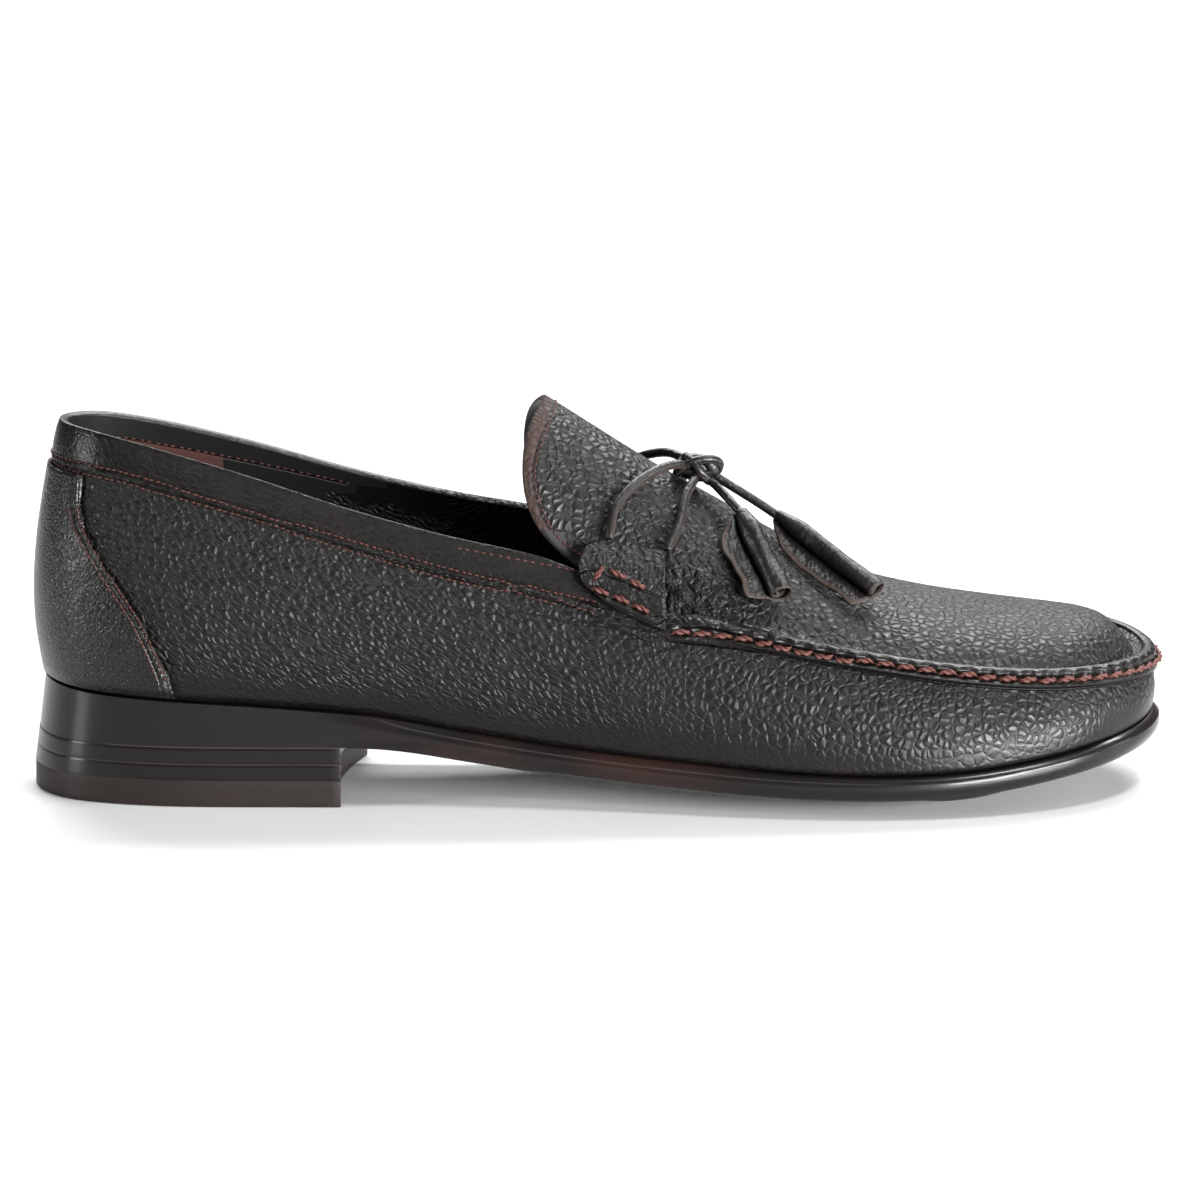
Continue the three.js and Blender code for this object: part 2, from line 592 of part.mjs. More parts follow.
// The hollow upper: a wall round the whole foot and the apron over its front, with an inner face WALL inside.
function upperBody() {
  const skin = (ribOf) => {
    const ribs = [];
    for (let i = 0; i < RIBS; i += 1) ribs.push(ribOf(i / RIBS));
    return ribs;
  };
  const lay = (body, ribs) => {
    const wall = ribs.map((rib) => rib.map((point) => body.add(point)));
    const apron = [];
    for (let m = 0; m <= APRON_CELLS; m += 1) {
      const row = [];
      for (let k = 0; k <= CROSS_CELLS; k += 1) {
        const left = wall[KEEPER_FRONT_RIB + m][RIM_ROW];
        const right = wall[RIBS - KEEPER_FRONT_RIB - m][RIM_ROW];
        if (m === APRON_CELLS) row.push(wall[CORNER_RIB + k][RIM_ROW]);
        else if (k === 0) row.push(left);
        else if (k === CROSS_CELLS) row.push(right);
        else row.push(body.add(apronPoint(m / APRON_CELLS, k / CROSS_CELLS)));
      }
      apron.push(row);
    }
    return { wall, apron };
  };
  const close = (body, { wall, apron }, flip) => {
    body.grid([...wall, wall[0]], flip);
    body.grid(apron, flip);
  };
  const base = new Body();
  close(base, lay(base, skin(innerRib)), false);
  const normals = cornerNormals(base);
  const body = new Body();
  const outer = lay(body, skin(outerRib));
  close(body, outer, false);
  const start = body.corners.length;
  base.corners.forEach((corner, i) => body.add(corner.clone().addScaledVector(normals[i], -WALL)));
  const shift = (grid) => grid.map((row) => row.map((corner) => corner + start));
  const inner = { wall: shift(outer.wall), apron: shift(outer.apron) };
  close(body, inner, true);
  for (let i = 0; i < RIBS; i += 1) {
    const next = (i + 1) % RIBS;
    const foot = [inner.wall[i][0], inner.wall[next][0], outer.wall[next][0], outer.wall[i][0]];
    body.corners[foot[0]].z = body.corners[foot[3]].z;
    body.face(...foot);
    const open = i < KEEPER_FRONT_RIB || i >= RIBS - KEEPER_FRONT_RIB;
    const rim = [outer.wall[i], outer.wall[next], inner.wall[next], inner.wall[i]];
    if (open) body.face(...rim.map((rib) => rib[RIM_ROW]));
  }
  body.grid([inner.apron[0], outer.apron[0]], false);
  return body;
}

// A shell over a surface of two shares, between two distances from it; turn reverses the surface's outside.
function shellBody(surface, along, across, low, high, turn) {
  const step = 1e-3;
  const body = new Body();
  const layer = (distance) => {
    const cells = [];
    for (let i = 0; i <= along; i += 1) {
      const row = [];
      for (let j = 0; j <= across; j += 1) {
        const a = i / along;
        const b = j / across;
        const da = surface(Math.min(a + step, 1), b).sub(surface(Math.max(a - step, 0), b));
        const db = surface(a, Math.min(b + step, 1)).sub(surface(a, Math.max(b - step, 0)));
        const normal = da.cross(db).normalize().multiplyScalar(turn ? -1 : 1);
        row.push(body.add(surface(a, b).addScaledVector(normal, distance(a, b))));
      }
      cells.push(row);
    }
    return cells;
  };
  const inner = layer(low);
  const outer = layer(high);
  body.grid(outer, turn);
  body.grid(inner, !turn);
  const column = (cells, j) => cells.map((row) => row[j]);
  body.grid([column(inner, 0), column(outer, 0)], !turn);
  body.grid([column(inner, across), column(outer, across)], turn);
  body.grid([inner[0], outer[0]], turn);
  body.grid([inner[along], outer[along]], !turn);
  return body;
}

const counterCurve = new THREE.CatmullRomCurve3(COUNTER_ROWS.map((row) => vec(row.reach, row.up, 0)));
function counterSurface(round, height) {
  const edge = counterCurve.getPoint(height);
  const share = (mix(-1, 1, round) * -edge.x) / ROWS_AROUND;
  return wallPoint(share, edge.y);
}

// A keeper tab bridges from the collar's end to the tongue's side, with a round rear end.
function keeperSurface(side) {
  return (along, height) => {
    const round = 0.7 + 0.3 * Math.sqrt(Math.max(1 - (2 * height - 1) ** 2, 0));
    const ribs = KEEPER_FRONT_RIB - along * round * KEEPER_LENGTH_IN_RIBS;
    const frame = topFrame((-side * ribs) / RIBS);
    const tall = frame.top.distanceTo(wallPoint((-side * ribs) / RIBS, 0));
    const onTongue = (share) => {
      const across = side < 0 ? share : 1 - share;
      const front = tonguePoint(0, across).x;
      const rear = tonguePoint(1, across).x;
      return tonguePoint(Math.max((front - frame.top.x) / (front - rear), 0), across);
    };
    const points = [
      wallPoint((-side * ribs) / RIBS, 1 - KEEPER_DROP / tall),
      wallPoint((-side * ribs) / RIBS, 1 - KEEPER_DROP / tall / 2),
      fromTop(frame, 0, 0, 0, 0),
      lerp(fromTop(frame, 0, KEEPER_BRIDGE, 0, 0), onTongue(0.15), 0.33),
      lerp(fromTop(frame, 0, KEEPER_BRIDGE, 0, 0), onTongue(0.15), 0.66),
      onTongue(0.15),
    ];
    return new THREE.CatmullRomCurve3(points).getPoint(height);
  };
}
const keeperBody = (side) => {
  const arch = (a, b) => KEEPER_ARCH * Math.sin(Math.PI * THREE.MathUtils.clamp(2 * b - 1, 0, 1));
  const seat = STRIP_STEP + GAP + 0.3;
  return shellBody(
    keeperSurface(side),
    7,
    8,
    (a, b) => seat + arch(a, b) * 0.5,
    (a, b) => seat + KEEPER_WALL + arch(a, b),
    side < 0,
  );
};

// A point over a sheet, lifted along its normal.
function over(sheet, along, across, lift) {
  const step = 1e-3;
  const da = sheet(along + step, across).sub(sheet(along - step, across));
  const db = sheet(along, across + step).sub(sheet(along, across - step));
  const normal = da.cross(db).normalize();
  if (normal.z < 0) normal.negate();
  return sheet(along, across).addScaledVector(normal, lift);
}

const knotMiddle = over(tonguePoint, KNOT_PLACE.along, KNOT_PLACE.across, KNOT_PLACE.lift);
const towardKnot = (point) => knotMiddle.clone().add(point.clone().sub(knotMiddle).setLength(KNOT));

const roundShape = (radius) => new THREE.Shape().absarc(0, 0, radius, 0, 2 * Math.PI, false);
function tube(points, radius, steps) {
  const path = new THREE.CatmullRomCurve3(points);
  return new THREE.ExtrudeGeometry(roundShape(radius), { extrudePath: path, steps, curveSegments: 4 });
}
function strand(rows, side) {
  const points = rows.map((row) =>
    over(tonguePoint, row.along, side < 0 ? row.across : 1 - row.across, row.lift),
  );
  points.push(towardKnot(points[points.length - 1]));
  return tube(points, LACE / 2, 10);
}

// A geometry as a solid that can be joined.
function solidOf(geometry) {
  const loose = geometry.index ? geometry.toNonIndexed() : geometry;
  const places = loose.getAttribute("position");
  const corners = new Map();
  const properties = [];
  const triangles = [];
  for (let i = 0; i < places.count; i += 1) {
    const point = [places.getX(i), places.getY(i), places.getZ(i)];
    const key = point.map((value) => Math.round(value * 1e4)).join();
    if (!corners.has(key)) {
      corners.set(key, properties.length / 3);
      properties.push(...point);
    }
    triangles.push(corners.get(key));
  }
  const kept = [];
  for (let i = 0; i < triangles.length; i += 3) {
    const [a, b, c] = triangles.slice(i, i + 3);
    if (a !== b && b !== c && a !== c) kept.push(a, b, c);
  }
  return new wasm.Manifold(
    new wasm.Mesh({
      numProp: 3,
      vertProperties: new Float32Array(properties),
      triVerts: new Uint32Array(kept),
    }),
  );
}
function joined(geometries) {
  const solid = geometries.map(solidOf).reduce((sum, next) => sum.add(next));
  const mesh = solid.getMesh();
  const geometry = new THREE.BufferGeometry();
  geometry.setAttribute("position", new THREE.BufferAttribute(mesh.vertProperties, 3));
  geometry.setIndex(new THREE.BufferAttribute(mesh.triVerts, 1));
  return geometry;
}

// The knot: two crossing turns of the lace round a core.
function knotGeometry() {
  const turn = (tilt, spin) => {
    const ring = new THREE.TorusGeometry(KNOT - LACE / 2, LACE / 2, 7, 12);
    ring.scale(1, 0.78, 1);
    ring.rotateX(tilt);
    ring.rotateZ(spin);
    return ring.translate(knotMiddle.x, knotMiddle.y, knotMiddle.z);
  };
  const core = new THREE.SphereGeometry(KNOT * 0.62, 8, 6);
  core.translate(knotMiddle.x, knotMiddle.y, knotMiddle.z);
  return joined([turn(0.5, 0.4), turn(1.9, -0.5), core]);
}

// A tassel: a rolled strip on its own lace end, with two strips fused to the roll.
function tasselGeometry(place) {
  const top = over(apronPoint, place.top.along, place.top.across, place.top.lift);
  const end = over(apronPoint, place.end.along, place.end.across, place.end.lift);
  const axis = end.clone().sub(top).normalize();
  const lift = over(apronPoint, place.top.along, place.top.across, place.top.lift + 1).sub(top);
  const sideways = axis.clone().cross(lift).normalize();
  const upward = sideways.clone().cross(axis).normalize();
  const around = (middle, radius, angle) =>
    middle
      .clone()
      .addScaledVector(sideways, radius * Math.cos(angle))
      .addScaledVector(upward, radius * Math.sin(angle));
  const body = new Body();
  const sections = 6;
  const sides = 13;
  const rings = [];
  for (let i = 0; i <= sections; i += 1) {
    const share = i / sections;
    const radius = (ROLL / 2) * (0.5 + 0.5 * Math.sin((Math.PI / 2) * Math.min(share * 2.2, 1)));
    const middle = lerp(top, end, share);
    const ring = [];
    for (let k = 0; k < sides; k += 1) {
      const angle = (2 * Math.PI * k) / (sides - 1);
      ring.push(around(middle, radius * (0.78 + (0.22 * k) / (sides - 1)), angle + share * 0.8));
    }
    rings.push(ring.map((point) => body.add(point)));
  }
  body.grid(
    rings.map((ring) => [...ring, ring[0]]),
    false,
  );
  [0, sections].forEach((i) => {
    const middle = body.add(lerp(top, end, i / sections));
    rings[i].forEach((corner, k) => {
      const next = rings[i][(k + 1) % sides];
      body.face(middle, i ? next : corner, i ? corner : next, middle);
    });
  });
  const strip = (angle) =>
    shellBody(
      (along, across) => {
        const middle = lerp(top, end, mix(0.08, 0.98, along));
        const spread = (across - 0.15) * FRINGE_WIDTH * Math.min(0.5 + along, 1);
        const edge = around(middle, ROLL * 0.36, angle);
        const away = around(vec(0, 0, 0), 1, angle / 2 + (angle > 1 ? Math.PI / 2 : 0));
        return edge.addScaledVector(away, spread);
      },
      6,
      2,
      () => -FRINGE_WALL / 2,
      () => FRINGE_WALL / 2,
      false,
    ).geometry();
  const stemStart = towardKnot(top);
  const stem = tube([stemStart, lerp(stemStart, top, 0.55), lerp(top, end, 0.15)], LACE / 2, 4);
  return joined([body.geometry(), stem, ...place.strips.map(strip)]);
}

const leather = (roughness) => ({ color: 0x1c1818, roughness, metalness: 0 });
const edgeFinish = { color: 0x0d0b0b, roughness: 0.3, metalness: 0 };
const rubber = { color: 0x1f1512, roughness: 0.6, metalness: 0 };

const root = new THREE.Group();
function place(name, geometry, look) {
  const mesh = new THREE.Mesh(geometry, new THREE.MeshStandardMaterial(look));
  mesh.name = name;
  root.add(mesh);
}

place("top_piece", heelLayer(0, TOP_PIECE).geometry(), rubber);
place("heel_lift_lower", heelLayer(TOP_PIECE, TOP_PIECE + LIFT).geometry(), edgeFinish);
place("heel_lift_upper", heelLayer(TOP_PIECE + LIFT, HEEL_STACK).geometry(), edgeFinish);
place("outsole", outsoleBody.geometry(), edgeFinish);
place("midsole", midsoleBody.geometry(), edgeFinish);
place("insole", insoleBody.geometry(), leather(0.6));
place("upper", upperBody().geometry(), leather(0.45));
place(
  "tongue",
  shellBody(
    tonguePoint,
    5,
    CROSS_CELLS,
    () => -TONGUE_WALL,
    () => 0,
    true,
  ).geometry(),
  leather(0.5),
);
place(
  "heel_counter",
  shellBody(
    counterSurface,
    16,
    7,
    () => COUNTER_GAP,
    () => COUNTER_GAP + COUNTER_WALL,
    true,
  ).geometry(),
  leather(0.35),
);
const SIDES = { lateral: -1, medial: 1 };
Object.entries(SIDES).forEach(([name, side]) => {
  place("keeper_" + name, keeperBody(side).geometry(), leather(0.45));
  place("lace_rear_" + name, strand(REAR_STRAND, side), leather(0.5));
  place("lace_front_" + name, strand(FRONT_STRAND, side), leather(0.5));
});
place("lace_knot", knotGeometry(), leather(0.5));
Object.entries(TASSEL_PLACES).forEach(([name, spot]) => place(name, tasselGeometry(spot), leather(0.5)));

// The origin is under the middle of the whole shoe, on the floor.
const bounds = new THREE.Box3().setFromObject(root);
const middle = bounds.getCenter(new THREE.Vector3());
root.position.set(-middle.x, -middle.y, -bounds.min.z);
root.updateMatrixWorld(true);

export default root;
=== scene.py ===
import math

import bmesh
import bpy
import numpy as np
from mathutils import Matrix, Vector
from mathutils.bvhtree import BVHTree
from mathutils.kdtree import KDTree


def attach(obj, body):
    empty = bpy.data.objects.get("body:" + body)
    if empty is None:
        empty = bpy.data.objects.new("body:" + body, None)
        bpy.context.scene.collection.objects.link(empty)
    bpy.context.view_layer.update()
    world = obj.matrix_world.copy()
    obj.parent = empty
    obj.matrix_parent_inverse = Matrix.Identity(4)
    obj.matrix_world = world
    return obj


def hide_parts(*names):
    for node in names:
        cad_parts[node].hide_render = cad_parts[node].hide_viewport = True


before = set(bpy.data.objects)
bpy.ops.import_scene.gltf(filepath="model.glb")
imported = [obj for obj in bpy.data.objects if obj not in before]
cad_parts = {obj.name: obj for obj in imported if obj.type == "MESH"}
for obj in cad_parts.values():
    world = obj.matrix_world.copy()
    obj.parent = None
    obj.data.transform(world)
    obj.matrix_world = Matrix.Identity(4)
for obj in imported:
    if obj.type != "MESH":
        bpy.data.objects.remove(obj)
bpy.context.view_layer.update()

MM = 0.001
SCENE = bpy.context.scene

# View and light
VIEW_TILT = math.radians(11)
VIEW_DISTANCE = 2.0
VIEW_AIM = Vector((0.0004, 0, 0.0487))
PHOTO_SIDE = 1200
PHOTO_SCALE = 3.74 / MM
SENSOR_WIDTH = 36
CAMERA_BACK = Vector((0, -math.cos(VIEW_TILT), math.sin(VIEW_TILT)))
CAMERA_UP = Vector((0, math.sin(VIEW_TILT), math.cos(VIEW_TILT)))
CAMERA_PLACE = VIEW_AIM + CAMERA_BACK * VIEW_DISTANCE
SURROUND_STRENGTH = 0.1

# Each soft box: its place, the point it is turned to, its width and height, its power in watts
SOFT_BOXES = {
    "right_top_box": ((0.5, -0.25, 1.2), (0, 0, 0.05), (0.4, 0.16), 11),
    "front_box": ((-0.25, -1.1, 0.95), (0, 0, 0.05), (0.8, 0.12), 2.6),
    "toe_front_box": ((0.88, -0.88, 0.17), (0.08, 0, 0.03), (1.0, 0.3), 66),
    "overhead_box": ((0.1, 0.7, 1.1), (0, 0.1, 0), (1.5, 0.16), 32),
    "backdrop_box": ((0, 2.2, 1.5), (0, 1.7, 0), (2.4, 0.9), 62),
    "heel_side_box": ((-1.0, -0.3, 0.3), (-0.1, 0, 0.05), (0.25, 0.5), 7),
    "toe_side_box": ((1.1, 0.1, 0.4), (0.1, 0, 0.03), (0.3, 0.6), 4),
}


def set_up_camera():
    bpy.ops.object.camera_add(location=CAMERA_PLACE, rotation=(math.pi / 2 - VIEW_TILT, 0, 0))
    camera = bpy.context.object
    camera.name = "product_view"
    camera.data.sensor_width = SENSOR_WIDTH
    camera.data.lens = SENSOR_WIDTH * VIEW_DISTANCE * PHOTO_SCALE / PHOTO_SIDE
    camera.data.clip_start = 0.1
    SCENE.camera = camera


def soft_box(name, place, toward, size, power):
    bpy.ops.object.light_add(type="AREA", location=place)
    lamp = bpy.context.object
    lamp.name = name
    lamp.data.shape = "RECTANGLE"
    lamp.data.size, lamp.data.size_y = size
    lamp.data.energy = power
    lamp.rotation_euler = (Vector(toward) - Vector(place)).to_track_quat("-Z", "Y").to_euler()


def light_the_set():
    for name, setting in SOFT_BOXES.items():
        soft_box(name, *setting)
    world = bpy.data.worlds.new("white_surround")
    world.use_nodes = True
    surround = world.node_tree.nodes["Background"]
    surround.inputs["Color"].default_value = (1, 1, 1, 1)
    surround.inputs["Strength"].default_value = SURROUND_STRENGTH
    SCENE.world = world
    SCENE.view_settings.view_transform = "Standard"


def lay_floor():
    bpy.ops.mesh.primitive_plane_add(size=8, location=(0, 0, -0.2 * MM))
    floor = bpy.context.object
    floor.name = "studio_floor"
    floor.data.transform(floor.matrix_world)
    floor.matrix_world.identity()
    floor.data.materials.append(floor_finish())


class Reading:
    """A number read in a shader, on which arithmetic adds Math nodes."""

    def __init__(self, finish, socket):
        self.finish = finish
        self.socket = socket

    def maths(self, operation, first, second=0.0):
        node = self.finish.node("ShaderNodeMath", {"operation": operation}, {0: first, 1: second})
        return Reading(self.finish, node.outputs[0])

    def __add__(self, other):
        return self.maths("ADD", self, other)

    __radd__ = __add__

    def __sub__(self, other):
        return self.maths("SUBTRACT", self, other)

    def __rsub__(self, other):
        return self.maths("SUBTRACT", other, self)

    def __mul__(self, other):
        return self.maths("MULTIPLY", self, other)

    __rmul__ = __mul__

    def __abs__(self):
        return self.maths("ABSOLUTE", self)

    def cosine(self):
        return self.maths("COSINE", self)

    def or_more(self, other):
        """The larger of the two."""
        return self.maths("MAXIMUM", self, other)


class Finish:
    """A material that is put together node by node. Its lengths are in millimetres."""

    def __init__(self, name, roughness=0.5, coat=0.0, coat_roughness=0.2, sheen=0.0, specular=0.5):
        self.material = bpy.data.materials.new(name)
        self.material.use_nodes = True
        self.tree = self.material.node_tree
        self.shader = self.tree.nodes["Principled BSDF"]
        self.set("Roughness", roughness)
        self.set("Coat Weight", coat)
        self.set("Coat Roughness", coat_roughness)
        self.set("Sheen Weight", sheen)
        self.set("Specular IOR Level", specular)
        self.place = self.node("ShaderNodeTexCoord", {}, {}).outputs["Object"]

    def node(self, kind, settings, inputs):
        node = self.tree.nodes.new(kind)
        for name, value in settings.items():
            setattr(node, name, value)
        for name, value in inputs.items():
            self.join(value, node.inputs[name])
        return node

    def join(self, value, socket):
        if isinstance(value, Reading):
            self.tree.links.new(value.socket, socket)
        elif isinstance(value, bpy.types.NodeSocket):
            self.tree.links.new(value, socket)
        else:
            socket.default_value = value

    def set(self, name, value):
        self.join(value, self.shader.inputs[name])

    def measured(self, name):
        """A distance in millimetres that the mesh carries."""
        node = self.node("ShaderNodeAttribute", {"attribute_name": name}, {})
        return Reading(self, node.outputs["Fac"])

    def coordinate(self, axis):
        """A coordinate of the point in millimetres."""
        node = self.node("ShaderNodeSeparateXYZ", {}, {0: self.place})
        return Reading(self, node.outputs[axis]) * (1 / MM)

    def stretched(self, scale, turn=(0.0, 0.0, 0.0)):
        """The point's place, drawn out by a scale along turned axes."""
        values = {"Vector": self.place, "Scale": scale, "Rotation": turn}
        return self.node("ShaderNodeMapping", {"vector_type": "TEXTURE"}, values).outputs[0]

    def vectors(self, operation, inputs):
        return self.node("ShaderNodeVectorMath", {"operation": operation}, inputs).outputs[0]

    def vector(self, x, y, z):
        return self.node("ShaderNodeCombineXYZ", {}, {0: x, 1: y, 2: z}).outputs[0]

    def noise(self, size_mm, detail=2.0, where=None):
        """A noise whose patches are about that size."""
        values = {"Vector": where or self.place, "Scale": 1 / (size_mm * MM), "Detail": detail}
        return Reading(self, self.node("ShaderNodeTexNoise", {}, values).outputs[0])

    def warped(self, where, size_mm, amount_mm):
        """The same vector, shaken by a noise of that size."""
        values = {"Vector": where, "Scale": 1 / (size_mm * MM), "Detail": 1.0}
        shake = self.node("ShaderNodeTexNoise", {}, values).outputs["Color"]
        centred = self.vectors("SUBTRACT", {0: shake, 1: (0.5, 0.5, 0.5)})
        offset = self.vectors("SCALE", {0: centred, "Scale": amount_mm * MM})
        return self.vectors("ADD", {0: where, 1: offset})

    def cells(self, size_mm, where):
        """The gap to the nearest border of cells of about that size."""
        values = {"Vector": where, "Scale": 1 / (size_mm * MM)}
        node = self.node("ShaderNodeTexVoronoi", {"feature": "DISTANCE_TO_EDGE"}, values)
        return Reading(self, node.outputs["Distance"])

    def rise(self, reading, low, high):
        """0 below low, 1 above high, smooth between."""
        node = self.node(
            "ShaderNodeMapRange",
            {"interpolation_type": "SMOOTHSTEP"},
            {"Value": reading, "From Min": low, "From Max": high},
        )
        return Reading(self, node.outputs[0])

    def line(self, reading, middle, half_width):
        """1 on the line where the reading is middle, 0 beyond half_width of it."""
        return 1 - self.rise(abs(reading - middle), 0.0, half_width)

    def blend(self, share, low, high):
        """A colour between two, by a share."""
        node = self.node("ShaderNodeMix", {"data_type": "RGBA"}, {})
        self.join(share, node.inputs["Factor"])
        for socket, colour in ((node.inputs[6], low), (node.inputs[7], high)):
            self.join(colour if isinstance(colour, bpy.types.NodeSocket) else (*colour, 1), socket)
        return node.outputs[2]

    def colour(self, value):
        self.set("Base Color", value if isinstance(value, bpy.types.NodeSocket) else (*value, 1))

    def relief(self, height_mm):
        """The height in millimetres stands out of the surface."""
        bump = self.node("ShaderNodeBump", {}, {"Height": height_mm, "Distance": MM, "Strength": 1.0})
        self.set("Normal", bump.outputs[0])


# Colours
LEATHER = (0.0031, 0.0025, 0.0024)
LEATHER_WORN = (0.008, 0.006, 0.0055)
# Painted shade: the darker colour laid into the grain's cracks and the seam's grooves
LEATHER_PAINTED_SHADE = (0.0015, 0.0012, 0.0012)
SUEDE = (0.026, 0.016, 0.014)
SUEDE_LIGHT = (0.05, 0.031, 0.026)
RAW_LEATHER = (0.021, 0.012, 0.009)
GRIP_PATCH = (0.05, 0.013, 0.01)
LINING = (0.006, 0.0055, 0.0055)
THREAD = (0.058, 0.019, 0.014)
THREAD_DARK = (0.05, 0.012, 0.009)
SEAM_THREAD = (0.02, 0.0085, 0.0065)
EDGE_INK = (0.004, 0.0032, 0.0031)
EDGE_TAN = (0.022, 0.0095, 0.007)
RUBBER = (0.013, 0.0085, 0.007)
FLOOR_PALE = (0.62, 0.62, 0.624)
FLOOR_GREY = (0.6, 0.6, 0.605)
GLUE_LINE = (0.06, 0.05, 0.045)

# Grain and seams of the leather: lengths in millimetres, turns in radians
SEAM_PITCH = 5.45
OWN_SCALE = 1 / MM  # the size at which a noise takes a vector's numbers as they are
ROUND_PEBBLE = 2.35
DRAWN_PEBBLE = 1.75
PEBBLE_WARP = 2.6
PEBBLE_STRETCH = (1.55, 1.0, 0.85)
PEBBLE_TURN = (0.0, 0.5, 0.0)
QUARTER_ENDS = (10.0, 50.0)
TONGUE_STARTS = (60.0, 70.0)
TONGUE_BEGINS_ALONG = (-45.0, -40.0)
STRIP_DEPTH = (-14.0, -13.0)
BEAD_INNER = (-2.9, -2.2)
BEAD_OUTER = (4.6, 5.2)
FLANGE = -2.4
BEAD_EDGE = 4.9
FOLD_ROWS = 1.35
POLISHED_HEIGHT = (3.0, 12.0)
GATHER_REACH = (-14.0, -3.0)
GRIP_PATCH_FRONT = -101.5
LIFT_LINES = (11.3, 6.8, 15.8)
HEEL_FRONT = -66.5

# How far the leather's forms stand up or sink in, in millimetres
PEBBLE_HEIGHT = 0.26
PORE_HEIGHT = 0.03
UNEVENNESS = 0.1
GATHER_HEIGHT = 1.3
NOTCH_DEPTH = 0.8
THREAD_DEPTH = 0.5
FLANGE_DEPTH = 0.7
BEAD_DEPTH = 0.55
COLLAR_FOLD = 0.35
CRUMPLE_HEIGHT = 3.0
NAP_DEPTH = 0.3

# Roughness of the leather where it is polished
POLISHED = 0.25


def pebbles(finish, smoothness):
    """The grain: round pebbles in front and on the tongue, drawn-out ones along the quarters."""
    shaken = finish.warped(finish.place, PEBBLE_WARP, 0.9)
    round_gap = finish.cells(ROUND_PEBBLE, shaken)
    round_grain = finish.rise(round_gap, 0.01, 0.2) * 0.4 + finish.rise(round_gap, 0.0, 0.6) * 0.6
    drawn = finish.warped(finish.stretched(PEBBLE_STRETCH, PEBBLE_TURN), PEBBLE_WARP, 1.2)
    drawn_gap = finish.cells(DRAWN_PEBBLE, drawn)
    drawn_grain = finish.rise(drawn_gap, 0.01, 0.22) * 0.4 + finish.rise(drawn_gap, 0.0, 0.6) * 0.6
    along = finish.coordinate("X")
    quarter = 1 - finish.rise(along + finish.noise(22.0) * 30, *QUARTER_ENDS)
    tongue = finish.rise(finish.coordinate("Z"), *TONGUE_STARTS) * finish.rise(along, *TONGUE_BEGINS_ALONG)
    quarter = quarter * (1 - tongue)
    plates = drawn_grain * quarter + round_grain * (1 - quarter)
    soft = finish.noise(0.6, 3.0)
    patch = finish.noise(12.0, 2.0)
    tilt = finish.noise(2.6, 1.0)
    height = plates * PEBBLE_HEIGHT * (1 + patch) + soft * PORE_HEIGHT + tilt * UNEVENNESS
    return height * (1 - smoothness * 0.85), plates


def grained_leather():
    """Pebbled leather, smooth on strip and bead, gathered under the seam, napped at the tongue's edge."""
    finish = Finish("grained_leather", specular=0.22)
    collar = finish.measured("collar_side")
    seam = finish.measured("seam_side")
    run = finish.measured("seam_run")
    foot = finish.measured("foot_height")
    crumple = finish.measured("crumple")
    strip = finish.rise(collar, *STRIP_DEPTH) * (1 - finish.rise(collar, -0.6, 0.6))
    front = finish.rise(seam, -60.0, -59.0)
    bead = finish.rise(seam, *BEAD_INNER) * (1 - finish.rise(seam, *BEAD_OUTER)) * front
    polished = 1 - finish.rise(foot, *POLISHED_HEIGHT)
    smoothness = (strip * 0.9).or_more(bead * 0.85).or_more(polished * 0.9)
    grain, pebble = pebbles(finish, smoothness)
    along = finish.coordinate("X")
    pull = finish.rise(seam, *GATHER_REACH) * (1 - finish.rise(seam, -2.7, -2.2))
    pull = pull * (1 - 0.75 * finish.rise(along, 25.0, 65.0))
    gathers = finish.noise(OWN_SCALE, 2.0, finish.vector(run * 0.42 + seam * 0.4, seam * 0.09, 0.0))
    nap = 1 - finish.rise(finish.measured("tongue_side"), -0.9, -0.6)
    pucker = (run * (2 * math.pi / SEAM_PITCH)).cosine()
    notch = finish.line(seam, 1.3, 2.0) * (0.5 - 0.5 * pucker)
    thread_groove = finish.line(seam, 0.0, 1.1)
    flange_line = finish.line(seam, FLANGE, 0.6)
    bead_line = finish.line(seam, BEAD_EDGE, 0.6)
    collar_fold = finish.line(collar, 0.0, 1.1)
    collar_lines = finish.line(abs(collar), FOLD_ROWS, 0.45)
    folds = finish.noise(3.2, 3.0, finish.stretched((1.6, 1.0, 0.7), (0.0, 0.9, 0.3)))
    folds = (folds - 0.5) * CRUMPLE_HEIGHT * crumple
    finish.relief(
        grain
        + (gathers - 0.5) * GATHER_HEIGHT * pull
        - notch * NOTCH_DEPTH
        - thread_groove * THREAD_DEPTH
        - flange_line * FLANGE_DEPTH
        - bead_line * BEAD_DEPTH
        + (collar_fold - collar_lines) * COLLAR_FOLD
        + folds
        - nap * NAP_DEPTH
    )
    crack = (1 - pebble) * (1 - smoothness * 0.9)
    dirt = finish.noise(9.0, 3.0)
    skin = finish.blend(finish.rise(dirt, 0.45, 0.75) * 0.35, LEATHER, LEATHER_WORN)
    # Painted shade: the leather is darkened in the cracks between pebbles and along the flange and bead
    # grooves, where shade falls
    painted_shade_in_grooves = (crack * 0.85).or_more(flange_line * 0.9 + bead_line * 0.6)
    finish.colour(finish.blend(nap, finish.blend(painted_shade_in_grooves, skin, LEATHER_PAINTED_SHADE), SUEDE))
    finish.set("Roughness", POLISHED + 0.04 * smoothness + crack * 0.4 + nap * 0.35)
    return finish.material


